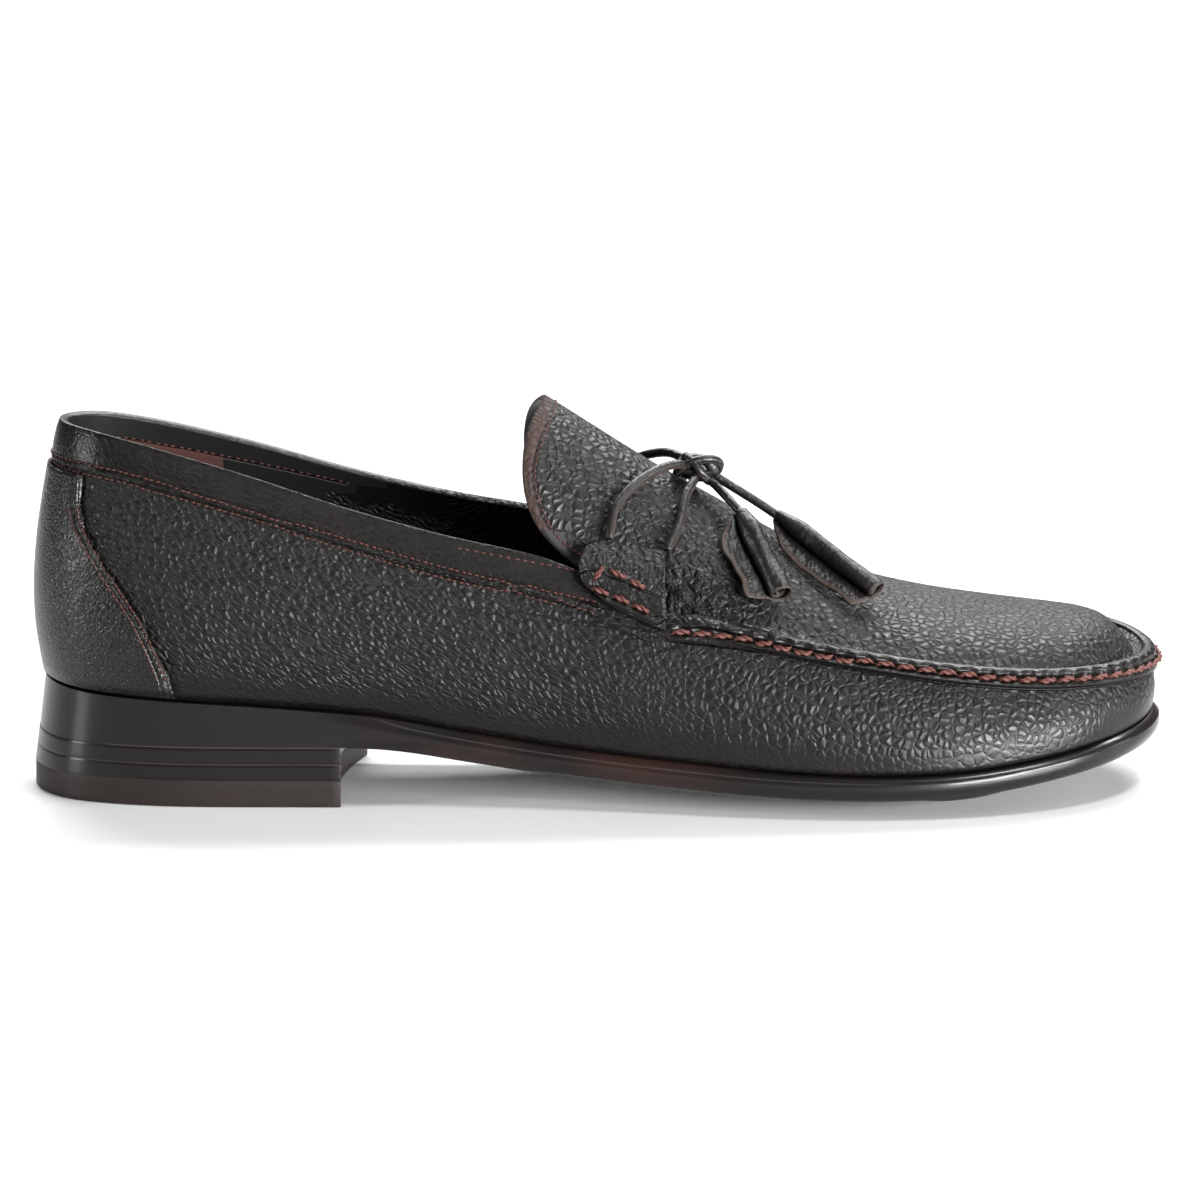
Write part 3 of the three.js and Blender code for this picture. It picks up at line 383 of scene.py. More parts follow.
def smooth_leather():
    """The counter's leather, with a fold and two grooves along its front edge."""
    finish = Finish("smooth_leather", specular=0.27)
    edge = finish.measured("edge_distance")
    fine = finish.noise(0.9, 3.0)
    cells = finish.rise(finish.cells(1.2, finish.warped(finish.place, 3.0, 0.9)), 0.0, 0.3)
    fold = finish.line(edge, 2.3, 0.8)
    grooves = finish.line(edge, 1.3, 0.4) + finish.line(edge, 3.4, 0.4)
    finish.relief(fine * 0.1 + cells * 0.1 + fold * 0.3 - grooves * 0.3)
    tone = finish.noise(12.0, 2.0)
    finish.colour(finish.blend(tone * 0.15, LEATHER, LEATHER_WORN))
    finish.set("Roughness", POLISHED + 0.1 * tone)
    return finish.material


def lining_leather():
    """Lining leather, with the binding's step and the grip patch at the heel."""
    finish = Finish("lining", specular=0.25)
    binding = finish.measured("binding_side")
    along = finish.coordinate("X")
    at_heel = 1 - finish.rise(along, GRIP_PATCH_FRONT, GRIP_PATCH_FRONT + 0.5)
    patch = at_heel * (1 - finish.rise(binding, -0.6, -0.2))
    nap = finish.noise(0.35, 3.0)
    step = finish.line(binding, -0.5, 0.5)
    finish.relief(nap * (0.04 + 0.12 * patch) + finish.rise(binding, -0.8, -0.2) * 0.4 - step * 0.3)
    tone = finish.noise(5.0, 3.0)
    grip = finish.blend(tone, GRIP_PATCH, SUEDE)
    finish.colour(finish.blend(patch, LINING, grip))
    finish.set("Roughness", 0.42 + 0.5 * patch)
    return finish.material


def suede_edge():
    """The raw edge of the tongue."""
    finish = Finish("suede_edge", roughness=0.9, sheen=0.04, specular=0.2)
    nap = finish.noise(0.45, 4.0)
    finish.relief(nap * 0.35)
    finish.colour(finish.blend(finish.rise(nap, 0.35, 0.7), SUEDE, SUEDE_LIGHT))
    return finish.material


def lace_leather():
    """Dull thong leather, paler where its raw edge shows."""
    finish = Finish("lace_leather", specular=0.3)
    fine = finish.noise(0.8, 4.0)
    streak = finish.noise(1.2, 3.0, finish.stretched((1.0, 1.0, 2.6), (0.3, 0.5, 0.0)))
    wrinkle = finish.noise(1.6, 3.0, finish.stretched((2.4, 2.4, 0.6), (0.5, -0.7, 0.2)))
    edge = 1 - finish.rise(finish.measured("raw_edge") + (fine - 0.5) * 0.5, 0.3, 0.6)
    finish.relief(fine * 0.1 + streak * 0.2 + wrinkle * 0.35 - edge * 0.15)
    raw = finish.rise(streak, 0.58, 0.74)
    skin = finish.blend(raw * 0.5, LEATHER, LEATHER_WORN)
    finish.colour(finish.blend(edge * 0.8, skin, RAW_LEATHER))
    finish.set("Roughness", 0.36 + 0.2 * raw + 0.3 * edge)
    return finish.material


def waxed_thread(name, light, dark):
    """Twisted thread with wax on it."""
    finish = Finish(name, roughness=0.55, specular=0.25)
    ply = finish.noise(0.5, 2.0)
    finish.relief(ply * 0.15)
    finish.colour(finish.blend(finish.rise(ply, 0.35, 0.65), dark, light))
    return finish.material


def sole_edge():
    """Inked and burnished stacked leather: fine level lines, a tan tone on the waist and at the toe."""
    finish = Finish("sole_edge", coat=0.2, coat_roughness=0.12, specular=0.15)
    height = finish.coordinate("Z")
    along = finish.coordinate("X")
    fibres = finish.noise(1.0, 3.0, finish.stretched((14.0, 14.0, 0.35)))
    rub = finish.noise(16.0, 3.0, finish.stretched((2.5, 2.5, 1.0)))
    lifts = sum(finish.line(height, line, 0.22) for line in LIFT_LINES)
    heel = 1 - finish.rise(along, HEEL_FRONT, HEEL_FRONT + 0.5)
    waist = finish.rise(along, -66.0, -50.0) * (1 - finish.rise(along, 10.0, 45.0))
    toe = finish.rise(along, 128.0, 145.0)
    upper_half = finish.measured("edge_up")
    tan = (waist * 0.8 + toe * 0.35) * finish.rise(rub, 0.38, 0.62) * finish.rise(upper_half, 0.35, 0.8)
    ink = finish.blend(tan, EDGE_INK, EDGE_TAN)
    finish.colour(finish.blend(lifts * heel * finish.rise(rub, 0.3, 0.5) * 0.8, ink, GLUE_LINE))
    finish.relief(fibres * 0.05 - lifts * heel * 0.12)
    finish.set("Roughness", 0.24 + 0.14 * rub)
    return finish.material


def heel_rubber():
    """The top piece, rubbed dull."""
    finish = Finish("heel_rubber", specular=0.2)
    fine = finish.noise(0.5, 3.0)
    rub = finish.noise(6.0, 3.0, finish.stretched((3.0, 3.0, 1.0)))
    finish.relief(fine * 0.06)
    finish.colour(finish.blend(rub * 0.6, RUBBER, EDGE_INK))
    finish.set("Roughness", 0.42 + 0.2 * rub)
    return finish.material


def floor_finish():
    """The pale floor."""
    finish = Finish("white_floor", roughness=0.35)
    tone = finish.noise(400.0, 1.0)
    finish.colour(finish.blend(tone * 0.1, FLOOR_PALE, FLOOR_GREY))
    return finish.material


SHARP_ANGLE = math.radians(35)


def start_clean():
    """Leaves edit mode with nothing selected."""
    if bpy.context.mode != "OBJECT":
        bpy.ops.object.mode_set(mode="OBJECT")
    bpy.ops.object.select_all(action="DESELECT")


def pick(piece):
    """Selects a piece alone, for the operators that follow."""
    start_clean()
    piece.select_set(True)
    bpy.context.view_layer.objects.active = piece


def node_copy(name, node):
    """A copy of a CAD node as a piece, its corners merged and its triangles turned back into quads."""
    piece = bpy.data.objects.new(name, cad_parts[node].data.copy())
    SCENE.collection.objects.link(piece)
    piece.data.materials.clear()
    pick(piece)
    bpy.ops.object.mode_set(mode="EDIT")
    bpy.ops.mesh.select_all(action="SELECT")
    bpy.ops.mesh.remove_doubles(threshold=0.01 * MM)
    bpy.ops.mesh.tris_convert_to_quads(face_threshold=math.pi, shape_threshold=math.pi)
    bpy.ops.object.mode_set(mode="OBJECT")
    return piece


def delete_faces(piece, unwanted):
    """Deletes the faces of a piece for which the test holds."""
    pick(piece)
    bpy.ops.object.mode_set(mode="EDIT")
    bpy.ops.mesh.select_all(action="DESELECT")
    mesh = bmesh.from_edit_mesh(piece.data)
    for face in mesh.faces:
        face.select_set(unwanted(face))
    bmesh.update_edit_mesh(piece.data)
    bpy.ops.mesh.delete(type="FACE")
    bpy.ops.object.mode_set(mode="OBJECT")


def join_at_open_edges(first, second, reach):
    """Joins two pieces and welds the open edges of one to those of the other."""
    pick(first)
    second.select_set(True)
    bpy.ops.object.join()
    bpy.ops.object.mode_set(mode="EDIT")
    bpy.ops.mesh.select_mode(type="VERT")
    bpy.ops.mesh.select_all(action="DESELECT")
    mesh = bmesh.from_edit_mesh(first.data)
    for vertex in mesh.verts:
        vertex.select_set(vertex.is_boundary)
    bmesh.update_edit_mesh(first.data)
    bpy.ops.mesh.remove_doubles(threshold=reach)
    bpy.ops.object.mode_set(mode="OBJECT")
    return first


def keep_corners(piece, angle=SHARP_ANGLE, crease=1.0):
    """Creases the edges that turn by more than an angle, so that subdivision leaves them sharp."""
    pick(piece)
    bpy.ops.object.mode_set(mode="EDIT")
    bpy.ops.mesh.select_mode(type="EDGE")
    bpy.ops.mesh.select_all(action="DESELECT")
    mesh = bmesh.from_edit_mesh(piece.data)
    for edge in mesh.edges:
        edge.select_set(edge.is_manifold and edge.calc_face_angle() > angle)
    bmesh.update_edit_mesh(piece.data)
    bpy.ops.transform.edge_crease(value=crease)
    bpy.ops.object.mode_set(mode="OBJECT")


def finish_with(piece, kind, **settings):
    """Adds a modifier and applies it."""
    pick(piece)
    modifier = piece.modifiers.new(kind.lower(), kind)
    for name, value in settings.items():
        setattr(modifier, name, value)
    bpy.ops.object.modifier_apply(modifier=modifier.name)


def smooth_over(piece, levels):
    finish_with(piece, "SUBSURF", levels=levels, render_levels=levels)


def shade_smooth(piece, angle=math.radians(60)):
    pick(piece)
    bpy.ops.object.shade_smooth_by_angle(angle=angle)


def dress(piece, slot, *materials):
    """Gives a piece its materials and lets it ride on the shoe. The slot is not used."""
    for material in materials:
        piece.data.materials.append(material)
    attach(piece, "root")
    return piece


def places(piece):
    """The piece's points, one to a row."""
    flat = np.empty(len(piece.data.vertices) * 3)
    piece.data.vertices.foreach_get("co", flat)
    return flat.reshape(-1, 3)


def normals(piece):
    flat = np.empty(len(piece.data.vertices) * 3)
    piece.data.vertices.foreach_get("normal", flat)
    return flat.reshape(-1, 3)


def move_to(piece, points):
    piece.data.vertices.foreach_set("co", points.ravel())
    piece.data.update()


def write_measure(piece, name, values):
    """Writes a number for each point, which the materials read."""
    layer = piece.data.attributes.new(name, "FLOAT", "POINT")
    layer.data.foreach_set("value", np.asarray(values, np.float32))


def skin_of(piece):
    """The surface of a piece, to lay lines on."""
    mesh = piece.data
    return BVHTree.FromPolygons([v.co for v in mesh.vertices], [list(p.vertices) for p in mesh.polygons])


def node_skin(name):
    return skin_of(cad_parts[name])


def from_photo(skin, points):
    """Points of the skin that the camera sees at these pixels of the photograph."""
    found = []
    right = Vector((1, 0, 0))
    middle = PHOTO_SIDE / 2
    for across, down in points:
        aim = VIEW_AIM + right * ((across - middle) / PHOTO_SCALE)
        aim = aim + CAMERA_UP * ((middle - down) / PHOTO_SCALE)
        hit = skin.ray_cast(CAMERA_PLACE, (aim - CAMERA_PLACE).normalized())[0]
        if hit:
            found.append(hit)
    return found


def on_other_side(skin, points):
    """The points of the inner side at the same length and height."""
    found = []
    for point in points:
        hit = skin.ray_cast(Vector((point.x, OUTSIDE_SHOE, point.z)), Vector((0, -1, 0)))[0]
        if hit:
            found.append(hit)
    return found


def curve_point(before, start, end, after, t):
    """A point between start and end on the curve that runs through all four."""
    return 0.5 * (
        2 * start
        + (end - before) * t
        + (2 * before - 5 * start + 4 * end - after) * t**2
        + (3 * start - before - 3 * end + after) * t**3
    )


def with_ends(points):
    """The points with one more at each end, in line with the last two."""
    return [2 * points[0] - points[1], *points, 2 * points[-1] - points[-2]]


def smooth_line(points, steps):
    """A rounded line through the points."""
    points = with_ends(points)
    line = []
    for four in zip(points, points[1:], points[2:], points[3:]):
        line.extend(curve_point(*four, k / steps) for k in range(steps))
    return [*line, points[-2]]


class Guide:
    """A line laid on a skin: evenly spaced points with direction, side and outward normal."""

    SPACING = 0.5 * MM
    FINE_STEP = 0.25 * MM
    SMOOTHED_OVER = 9

    def __init__(self, points, skin):
        points = with_ends([Vector(p) for p in points])
        fine = []
        for four in zip(points, points[1:], points[2:], points[3:]):
            steps = max(int((four[2] - four[1]).length / self.FINE_STEP), 2)
            fine.extend(curve_point(*four, k / steps) for k in range(steps))
        fine.append(points[-2])
        fine = [skin.find_nearest(p)[0] for p in fine]
        path = np.array(fine)
        gaps = np.linalg.norm(np.diff(path, axis=0), axis=1)
        run = np.concatenate([[0], np.cumsum(gaps)])
        count = max(int(run[-1] / self.SPACING), 4)
        self.run = np.linspace(0, run[-1], count)
        self.points = np.column_stack([np.interp(self.run, run, path[:, k]) for k in range(3)])
        self.normals = np.array([skin.find_nearest(Vector(p))[1] for p in self.points])
        kernel = np.ones(self.SMOOTHED_OVER) / self.SMOOTHED_OVER
        beyond = self.SMOOTHED_OVER // 2
        padded = np.pad(self.normals, ((beyond, beyond), (0, 0)), mode="edge")
        self.normals = np.column_stack([np.convolve(padded[:, k], kernel, "valid") for k in range(3)])
        self.normals /= np.linalg.norm(self.normals, axis=1)[:, None]
        self.along = np.gradient(self.points, axis=0)
        self.along /= np.linalg.norm(self.along, axis=1)[:, None]
        self.side = np.cross(self.normals, self.along)
        self.length = run[-1]
        self.tree = KDTree(count)
        for k, point in enumerate(self.points):
            self.tree.insert(point, k)
        self.tree.balance()

    def measure(self, points):
        """For each point the signed distance to the line and the run along it, in millimetres."""
        nearest = [self.tree.find(Vector(p)) for p in points]
        index = np.array([found[1] for found in nearest])
        reach = np.array([found[2] for found in nearest])
        offset = points - self.points[index]
        sign = np.where(np.einsum("ij,ij->i", offset, self.side[index]) < 0, -1, 1)
        forward = np.einsum("ij,ij->i", offset, self.along[index])
        return sign * reach / MM, (self.run[index] + forward) / MM

    def at(self, run):
        """Point, direction, side and normal at that run."""
        k = min(int(run / self.SPACING), len(self.points) - 1)
        return Vector(self.points[k]), Vector(self.along[k]), Vector(self.side[k]), Vector(self.normals[k])


def tube_faces(start, sections, sides):
    """The faces of a closed tube whose rings of corners follow one another from start."""
    faces = []
    for i in range(sections):
        for k in range(sides):
            a, b = start + i * sides + k, start + i * sides + (k + 1) % sides
            faces.append((a, b, b + sides, a + sides))
    faces.append(tuple(start + k for k in reversed(range(sides))))
    faces.append(tuple(start + sections * sides + k for k in range(sides)))
    return faces


def ring(middle, radius, sides):
    """A ring of corners round X."""
    turns = [2 * math.pi * k / sides for k in range(sides)]
    return [middle + Vector((0, math.cos(turn) * radius, math.sin(turn) * radius)) for turn in turns]


def twisted_stitch(length, thickness):
    """A stitch of two twisted plies along X, its ends turned down into the leather."""
    corners, faces = [], []
    plies, sections, sides = 2, 10, 6
    for ply in range(plies):
        start = len(corners)
        for i in range(sections + 1):
            share = i / sections
            swell = math.sin(math.pi * min(max(share, PLY_TIP), 1 - PLY_TIP)) ** PLY_BLUNTNESS
            turn = ply * 2 * math.pi / plies + share * PLY_TWIST
            out = thickness * PLY_OFFSET * swell
            middle = Vector(((share - 0.5) * length, math.cos(turn) * out, math.sin(turn) * out))
            middle.z += thickness * (PLY_RISE - PLY_DIVE * abs(2 * share - 1) ** 5)
            corners.extend(ring(middle, thickness * PLY_RADIUS * swell, sides))
        faces.extend(tube_faces(start, sections, sides))
    return corners, faces


def small_stitch(length, thickness):
    """A thin stitch along X as a low rounded bar."""
    corners = []
    sections, sides = 4, 6
    for i in range(sections + 1):
        share = i / sections
        swell = math.sin(math.pi * min(max(share, BAR_TIP), 1 - BAR_TIP)) ** 0.5
        lift = thickness * (BAR_RISE - BAR_SAG * (share - 0.5) ** 2)
        corners.extend(ring(Vector(((share - 0.5) * length, 0, lift)), thickness / 2 * swell, sides))
    return corners, tube_faces(0, sections, sides)


def sew(name, guide, skin, stitch, pitch, material, side=0.0, lift=0.0, slant=0.0):
    """Copies of a stitch along a guide, moved sideways by side, each laid on the skin."""
    corners, faces = [], []
    for k in range(int(guide.length / pitch)):
        point, along, across, normal = guide.at((k + 0.5) * pitch)
        place, _, _, gap = skin.find_nearest(point + across * side)
        if gap > STITCH_REACH:
            continue
        forward = (along + across * slant).normalized()
        sideways = normal.cross(forward).normalized()
        first = len(corners)
        for corner in stitch[0]:
            corners.append(place + forward * corner.x + sideways * corner.y + normal * (corner.z + lift))
        faces.extend(tuple(first + c for c in face) for face in stitch[1])
    mesh = bpy.data.meshes.new(name)
    mesh.from_pydata(corners, [], faces)
    piece = bpy.data.objects.new(name, mesh)
    SCENE.collection.objects.link(piece)
    shade_smooth(piece, math.pi)
    return dress(piece, "thread", material)


# Lines of the seams, in millimetres
SEAM_LINE_MM = [
    (19, -40.2, 47.9), (30, -40.4, 46.9), (44, -41, 45.2), (70, -41.5, 40.2), (94, -40.5, 36.5),
    (116, -36, 34.3), (134, -26, 33.4), (145.5, -11.6, 33), (149.7, 4.4, 33), (145.5, 20, 34.9),
    (134, 31, 36.9), (116, 38.8, 37.3), (94, 41.3, 39.2), (70, 39.7, 42.9), (44, 35.5, 47.7),
    (30, 34.6, 49.8), (19, 34, 50.9),
]
COLLAR_LINE_MM = [
    (-1, -37.7, 54.2), (-9.9, -37.1, 56.1), (-38, -35.4, 62.2), (-65, -33.5, 69.7), (-91, -30.8, 77.3),
    (-115.4, -27.2, 84), (-125.5, -25, 86.4), (-133.6, -21.7, 87.6), (-139.3, -17.5, 88.2),
    (-143, -12.3, 88.5), (-145.2, -7, 88.6), (-145.8, -1.6, 88.6), (-145.2, 3.8, 88.6),
    (-143, 9.2, 88.5), (-139.3, 14.4, 88.2), (-133.6, 18.6, 87.6), (-125.5, 21.7, 86.5),
    (-115.4, 24, 84.4), (-91, 27.7, 78), (-65, 30.2, 70.8), (-38, 31.3, 64.2), (-10.2, 32.4, 59.4),
    (-1, 33, 56.8),
]
# The counter's front edge: height and length, in millimetres
COUNTER_EDGE_MM = [
    (27, -111), (34, -112.3), (41, -115), (49.5, -119), (57.5, -124.5), (66, -130.5), (73, -134.6),
    (79, -136), (84, -135.8),
]

# Rows and places as the photograph shows them, in its pixels
KEEPER_LOWER_ROW = [(591, 588), (604, 593), (617, 598), (630, 604), (643, 610), (655, 615), (668, 621)]
KEEPER_UPPER_ROW = [
    (595, 583), (599, 573), (608, 570), (618, 574), (631, 581), (645, 588), (656, 594), (666, 601),
]
TONGUE_EDGE_ROW = [
    (562, 391), (553, 412), (542, 442), (535, 470), (538, 496), (549, 524), (565, 544), (588, 559),
]
CRUMPLED_PLACES = [(676, 588, 9), (700, 592, 10), (722, 602, 8)]
CRUMPLE_PEAK = 1.4
TONGUE_FREE_HEIGHT = 0.071

SIDES = {"lateral": -1, "medial": 1}
OUTSIDE_SHOE = 0.1
MIDDLE_ACROSS = -1.5 * MM
FAR_OFF = 60.0

# Upper and tongue
LINED_FACE, NAPPED_FACE = 1, 2
THICKEST_WALL = 3.6 * MM
JUST_UNDER = 0.1 * MM
JUST_OVER = 0.4 * MM
BINDING_LIFT = 3 * MM
BINDING_LIFT_PER_LENGTH = 0.045
BINDING_START = -0.115
HEEL_CENTRE = -0.118
THROAT_FROM, THROAT_TO = 14, 30
THROAT_HALF_WIDTH = 31
THROAT_HEIGHT = 50
FACING_FORWARD = 0.8
THROAT_WELD = 0.9 * MM
RIM_FROM, RIM_TO = -35 * MM, 12 * MM
RIM_HALF_WIDTH = 29 * MM
RIM_HEIGHT = 45 * MM
RIM_ANGLE = math.radians(50)
RIM_CREASE = 0.9
TONGUE_BACK = -42 * MM
TONGUE_HALF_WIDTH = 28.5 * MM
TONGUE_EDGE_REACH = 7

# Counter
COUNTER_LEVELS = np.arange(24, 92, 3) * MM
COUNTER_LEVEL_REACH = 2.5 * MM
COUNTER_FRONT = -0.12
COUNTER_BACK = -0.143
COUNTER_ROWS = (("outer", 1.6), ("inner", 3.9))

# Keepers
STRIP_MIDDLE = 2.9
STRIP_HALF_WIDTH = 3.0
STRIP_PUFF = 0.7 * MM
KEEPER_MEASURES = {
    "seam_run": 0.0, "tongue_side": 30.0, "collar_side": -80.0, "foot_height": 30.0, "crumple": 0.3,
}
NOTCHED_ANGLE = math.radians(60)

# Lace, knot and tassels
THONG_STEPS = 5
CORD_STEPS = 8
LACE_ROUTES_MM = {
    ("rear", "lateral"): [
        (2.9, -31, 70.8), (3.9, -26.4, 77.8), (10.9, -18.9, 84.5), (19.6, -10.9, 87.5), (23, -7, 86.4),
    ],
    ("front", "lateral"): [
        (17.9, -30.6, 67.8), (21.4, -23.6, 74.1), (22.9, -16.5, 79.8), (25.5, -10.2, 83.4), (25.7, -8.1, 84),
    ],
    ("rear", "medial"): [
        (2.8, 24.8, 71.9), (3.9, 20.5, 78.8), (10.9, 13.2, 85.2), (19.6, 4.8, 87.9), (23.1, 0.4, 86.5),
    ],
    ("front", "medial"): [
        (17.8, 24.1, 70), (21.4, 17.1, 75.8), (22.9, 10, 80.9), (25.5, 3.5, 84), (25.7, 1.6, 84.4),
    ],
}
RAW_EDGE_SIDE = Vector((0.45, -0.75, -0.48))
LACE_RADIUS = 1.4
STEM_RADIUS = 1.35
THONG_SIDES = 10
FOLD_TURN = 0.9
FOLD_WIDTH = 0.25
FOLD_DEPTH = 0.3
# How much fuller the knot is than its solid, and a distance from any raw edge that shows none
KNOT_FULLNESS = (1.35, 1.15, 1.15)
NO_RAW_EDGE = 5.0
KNOT_TURNS_MM = {
    "over": [
        (-5.6, -1.8, -1.4), (-4.0, -3.6, 0.6), (-0.6, -4.2, 2.4), (3.4, -3.2, 2.8), (5.9, -0.8, 1.2),
        (5.4, 0.6, -1.4),
    ],
    "across": [(-3.4, -1.2, 3.4), (-1.8, -3.6, 2.6), (0.2, -5.2, 0.4), (2.2, -4.4, -2.0), (3.4, -1.6, -3.4)],
}
TASSELS = {
    "near": {
        "stem": [(27.6, -5.2, 84), (31.5, -9, 80.8), (35, -13.5, 77.8), (39, -18.4, 74)],
        "top": (37.4, -16.4, 76), "end": (47.7, -36, 57.6), "up": (0.46, -0.37, 0.81),
        "radius": 3.5, "turns": 2.3, "flap": 5.0, "flap_turn": math.radians(310),
    },
    "far": {
        "stem": [(29, -3.4, 84.2), (35, -4.4, 80.6), (42, -5.6, 76.4), (49.5, -7.2, 71.6)],
        "top": (47.2, -6.3, 73.3), "end": (73.2, -22.2, 55.8), "up": (0.52, -0.11, 0.85),
        "radius": 3.1, "turns": 2.1, "flap": 4.5, "flap_turn": math.radians(285),
    },
}
ROLL_CELLS = (84, 16)
ROLL_CORE = 0.16
LOOSE_FROM = 0.84
LOOSE_TURN = 0.35
NECK_SHARE = 0.22
NECK_WIDTH = 0.5
STRIP_LENGTH = 12 * MM
ROLL_WALL = 0.75 * MM

# Stitches, as length and thickness, and their pitches
THICK_STITCH = (5.3 * MM, 1.7 * MM)
KEEPER_STITCH = (5.2 * MM, 1.7 * MM)
THIN_STITCH = (1.35 * MM, 0.6 * MM)
THIN_PITCH = 1.75 * MM
BINDING_PITCH = 2.2 * MM
COLLAR_ROW_OFFSET = 1.35 * MM
STITCH_REACH = 3 * MM
# A thick stitch's plies: their twist, how short and blunt the tips are and, as shares of the
# stitch's thickness, how far they lie from its middle, how high, how deep the ends go, and their radius
PLY_TWIST = 2.2 * math.pi
PLY_TIP = 0.03
PLY_BLUNTNESS = 0.35
PLY_OFFSET = 0.22
PLY_RISE = 0.28
PLY_DIVE = 0.75
PLY_RADIUS = 0.3
# A thin stitch's bar: the length of its tips and, as shares of its thickness, its height and its sag
BAR_TIP = 0.12
BAR_RISE = 0.22
BAR_SAG = 1.2
SEAM_LIFT = 0.45 * MM
SEAM_SLANT = 0.12
KEEPER_LIFT = 0.3 * MM

# Sole and heel
SOCK_TO_BINDING = 20.0
LEVEL_FACE = 0.7
SOLE_WELD = 0.4 * MM
SOLE_EDGE_UP = 0.6
HEEL_LAYERS = ("heel_lift_lower", "heel_lift_upper", "top_piece")
LAYER_BEVEL = 0.2 * MM
LAYER_ANGLE = math.radians(40)


def inside_the_collar(points):
    """The collar line carried over to the inner face of the wall, where the binding ends."""
    moved = []
    for point in points:
        middle = Vector((max(point.x, HEEL_CENTRE), MIDDLE_ACROSS, point.z))
        inward = (middle - point).normalized()
        lift = BINDING_LIFT + BINDING_LIFT_PER_LENGTH * max(point.x - BINDING_START, 0)
        moved.append(point + inward * THICKEST_WALL + Vector((0, 0, lift)))
    return moved


def at_throat(face):
    """Whether a face is one of those where the tongue is let into the upper."""
    middle = face.calc_center_median() / MM
    inside = THROAT_FROM < middle.x < THROAT_TO and abs(middle.y) < THROAT_HALF_WIDTH
    return inside and middle.z > THROAT_HEIGHT and abs(face.normal.x) > FACING_FORWARD


def build_upper():
    """Upper and tongue as one skin of leather with its lining."""
    skin = node_copy("upper_and_tongue", "upper")
    tongue = node_copy("tongue_part", "tongue")
    for part in (skin, tongue):
        delete_faces(part, at_throat)
    join_at_open_edges(skin, tongue, THROAT_WELD)
    own = skin_of(skin)
    insole = node_skin("insole")
    down = Vector((0, 0, -1))
    for face in skin.data.polygons:
        middle, normal = face.center.copy(), face.normal.copy()
        through = own.ray_cast(middle - normal * JUST_UNDER, -normal)
        edge_on = through[0] is None or through[3] > THICKEST_WALL
        start = middle + normal * JUST_OVER
        own_hit = own.ray_cast(start, down)
        sole_hit = insole.ray_cast(start, down)
        inside = sole_hit[0] is not None and (own_hit[0] is None or own_hit[3] > sole_hit[3])
        by_tongue = RIM_FROM < middle.x < RIM_TO and abs(middle.y) < RIM_HALF_WIDTH and middle.z > RIM_HEIGHT
        if edge_on and by_tongue and inside:
            face.material_index = NAPPED_FACE
        elif inside:
            face.material_index = LINED_FACE
    keep_corners(skin, RIM_ANGLE, RIM_CREASE)
    smooth_over(skin, 2)
    return skin


def write_upper_measures(upper, skin, seam, collar, binding, tongue_line):
    """Writes on the leather how far each point lies from the seams, the sole and the crumpled places."""
    points = places(upper)
    seam_side, seam_run = seam.measure(points)
    collar_side, _ = collar.measure(points)
    binding_side, _ = binding.measure(points)
    tongue_side, _ = tongue_line.measure(points)
    foot = node_skin("midsole")
    foot_height = np.array([foot.find_nearest(Vector(p))[3] for p in points]) / MM
    crumple = np.zeros(len(points))
    for across, down, reach in CRUMPLED_PLACES:
        centres = from_photo(skin, [(across, down)])
        centres += on_other_side(skin, centres)
        for centre in centres:
            apart = np.linalg.norm(points - np.array(centre), axis=1) / MM
            crumple = np.maximum(crumple, np.clip(CRUMPLE_PEAK - apart / reach, 0, 1))
    on_tongue = (points[:, 0] > TONGUE_BACK) & (np.abs(points[:, 1] + MM) < TONGUE_HALF_WIDTH)
    at_edge = on_tongue & (np.abs(tongue_side) < TONGUE_EDGE_REACH)
    for name, values in (
        ("seam_side", seam_side),
        ("seam_run", seam_run),
        ("tongue_side", np.where(at_edge, tongue_side, FAR_OFF)),
        ("collar_side", np.where(on_tongue, FAR_OFF, collar_side)),
        ("binding_side", binding_side),
        ("foot_height", foot_height),
        ("crumple", crumple),
    ):
        write_measure(upper, name, values)


def make_upper():
    """The upper with the tongue and all its rows of stitches."""
    upper = build_upper()
    skin = skin_of(upper)
    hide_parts("upper", "tongue")
    seam = Guide([Vector(p) * MM for p in SEAM_LINE_MM], skin)
    collar_line = [Vector(p) * MM for p in COLLAR_LINE_MM]
    collar = Guide(collar_line, skin)
    binding = Guide(inside_the_collar(collar_line), skin)
    tongue_row = from_photo(skin, TONGUE_EDGE_ROW)
    far_row = on_other_side(skin, [p for p in tongue_row if p.z > TONGUE_FREE_HEIGHT])
    tongue_line = Guide([*reversed(far_row), *tongue_row], skin)
    write_upper_measures(upper, skin, seam, collar, binding, tongue_line)
    dress(upper, "grained_leather", GRAINED, LINED, NAPPED)
    shade_smooth(upper)
    sew("seam_stitches", seam, skin, twisted_stitch(*THICK_STITCH), SEAM_PITCH * MM, THICK_THREAD,
        lift=SEAM_LIFT, slant=SEAM_SLANT)
    thin = small_stitch(*THIN_STITCH)
    for row, side in (("upper", COLLAR_ROW_OFFSET), ("lower", -COLLAR_ROW_OFFSET)):
        sew("collar_stitches_" + row, collar, skin, thin, THIN_PITCH, THIN_THREAD, side=side)
    sew("binding_stitches", binding, skin, thin, BINDING_PITCH, THIN_THREAD)
    sew("tongue_stitches", tongue_line, skin, thin, THIN_PITCH, THIN_THREAD)
    return skin


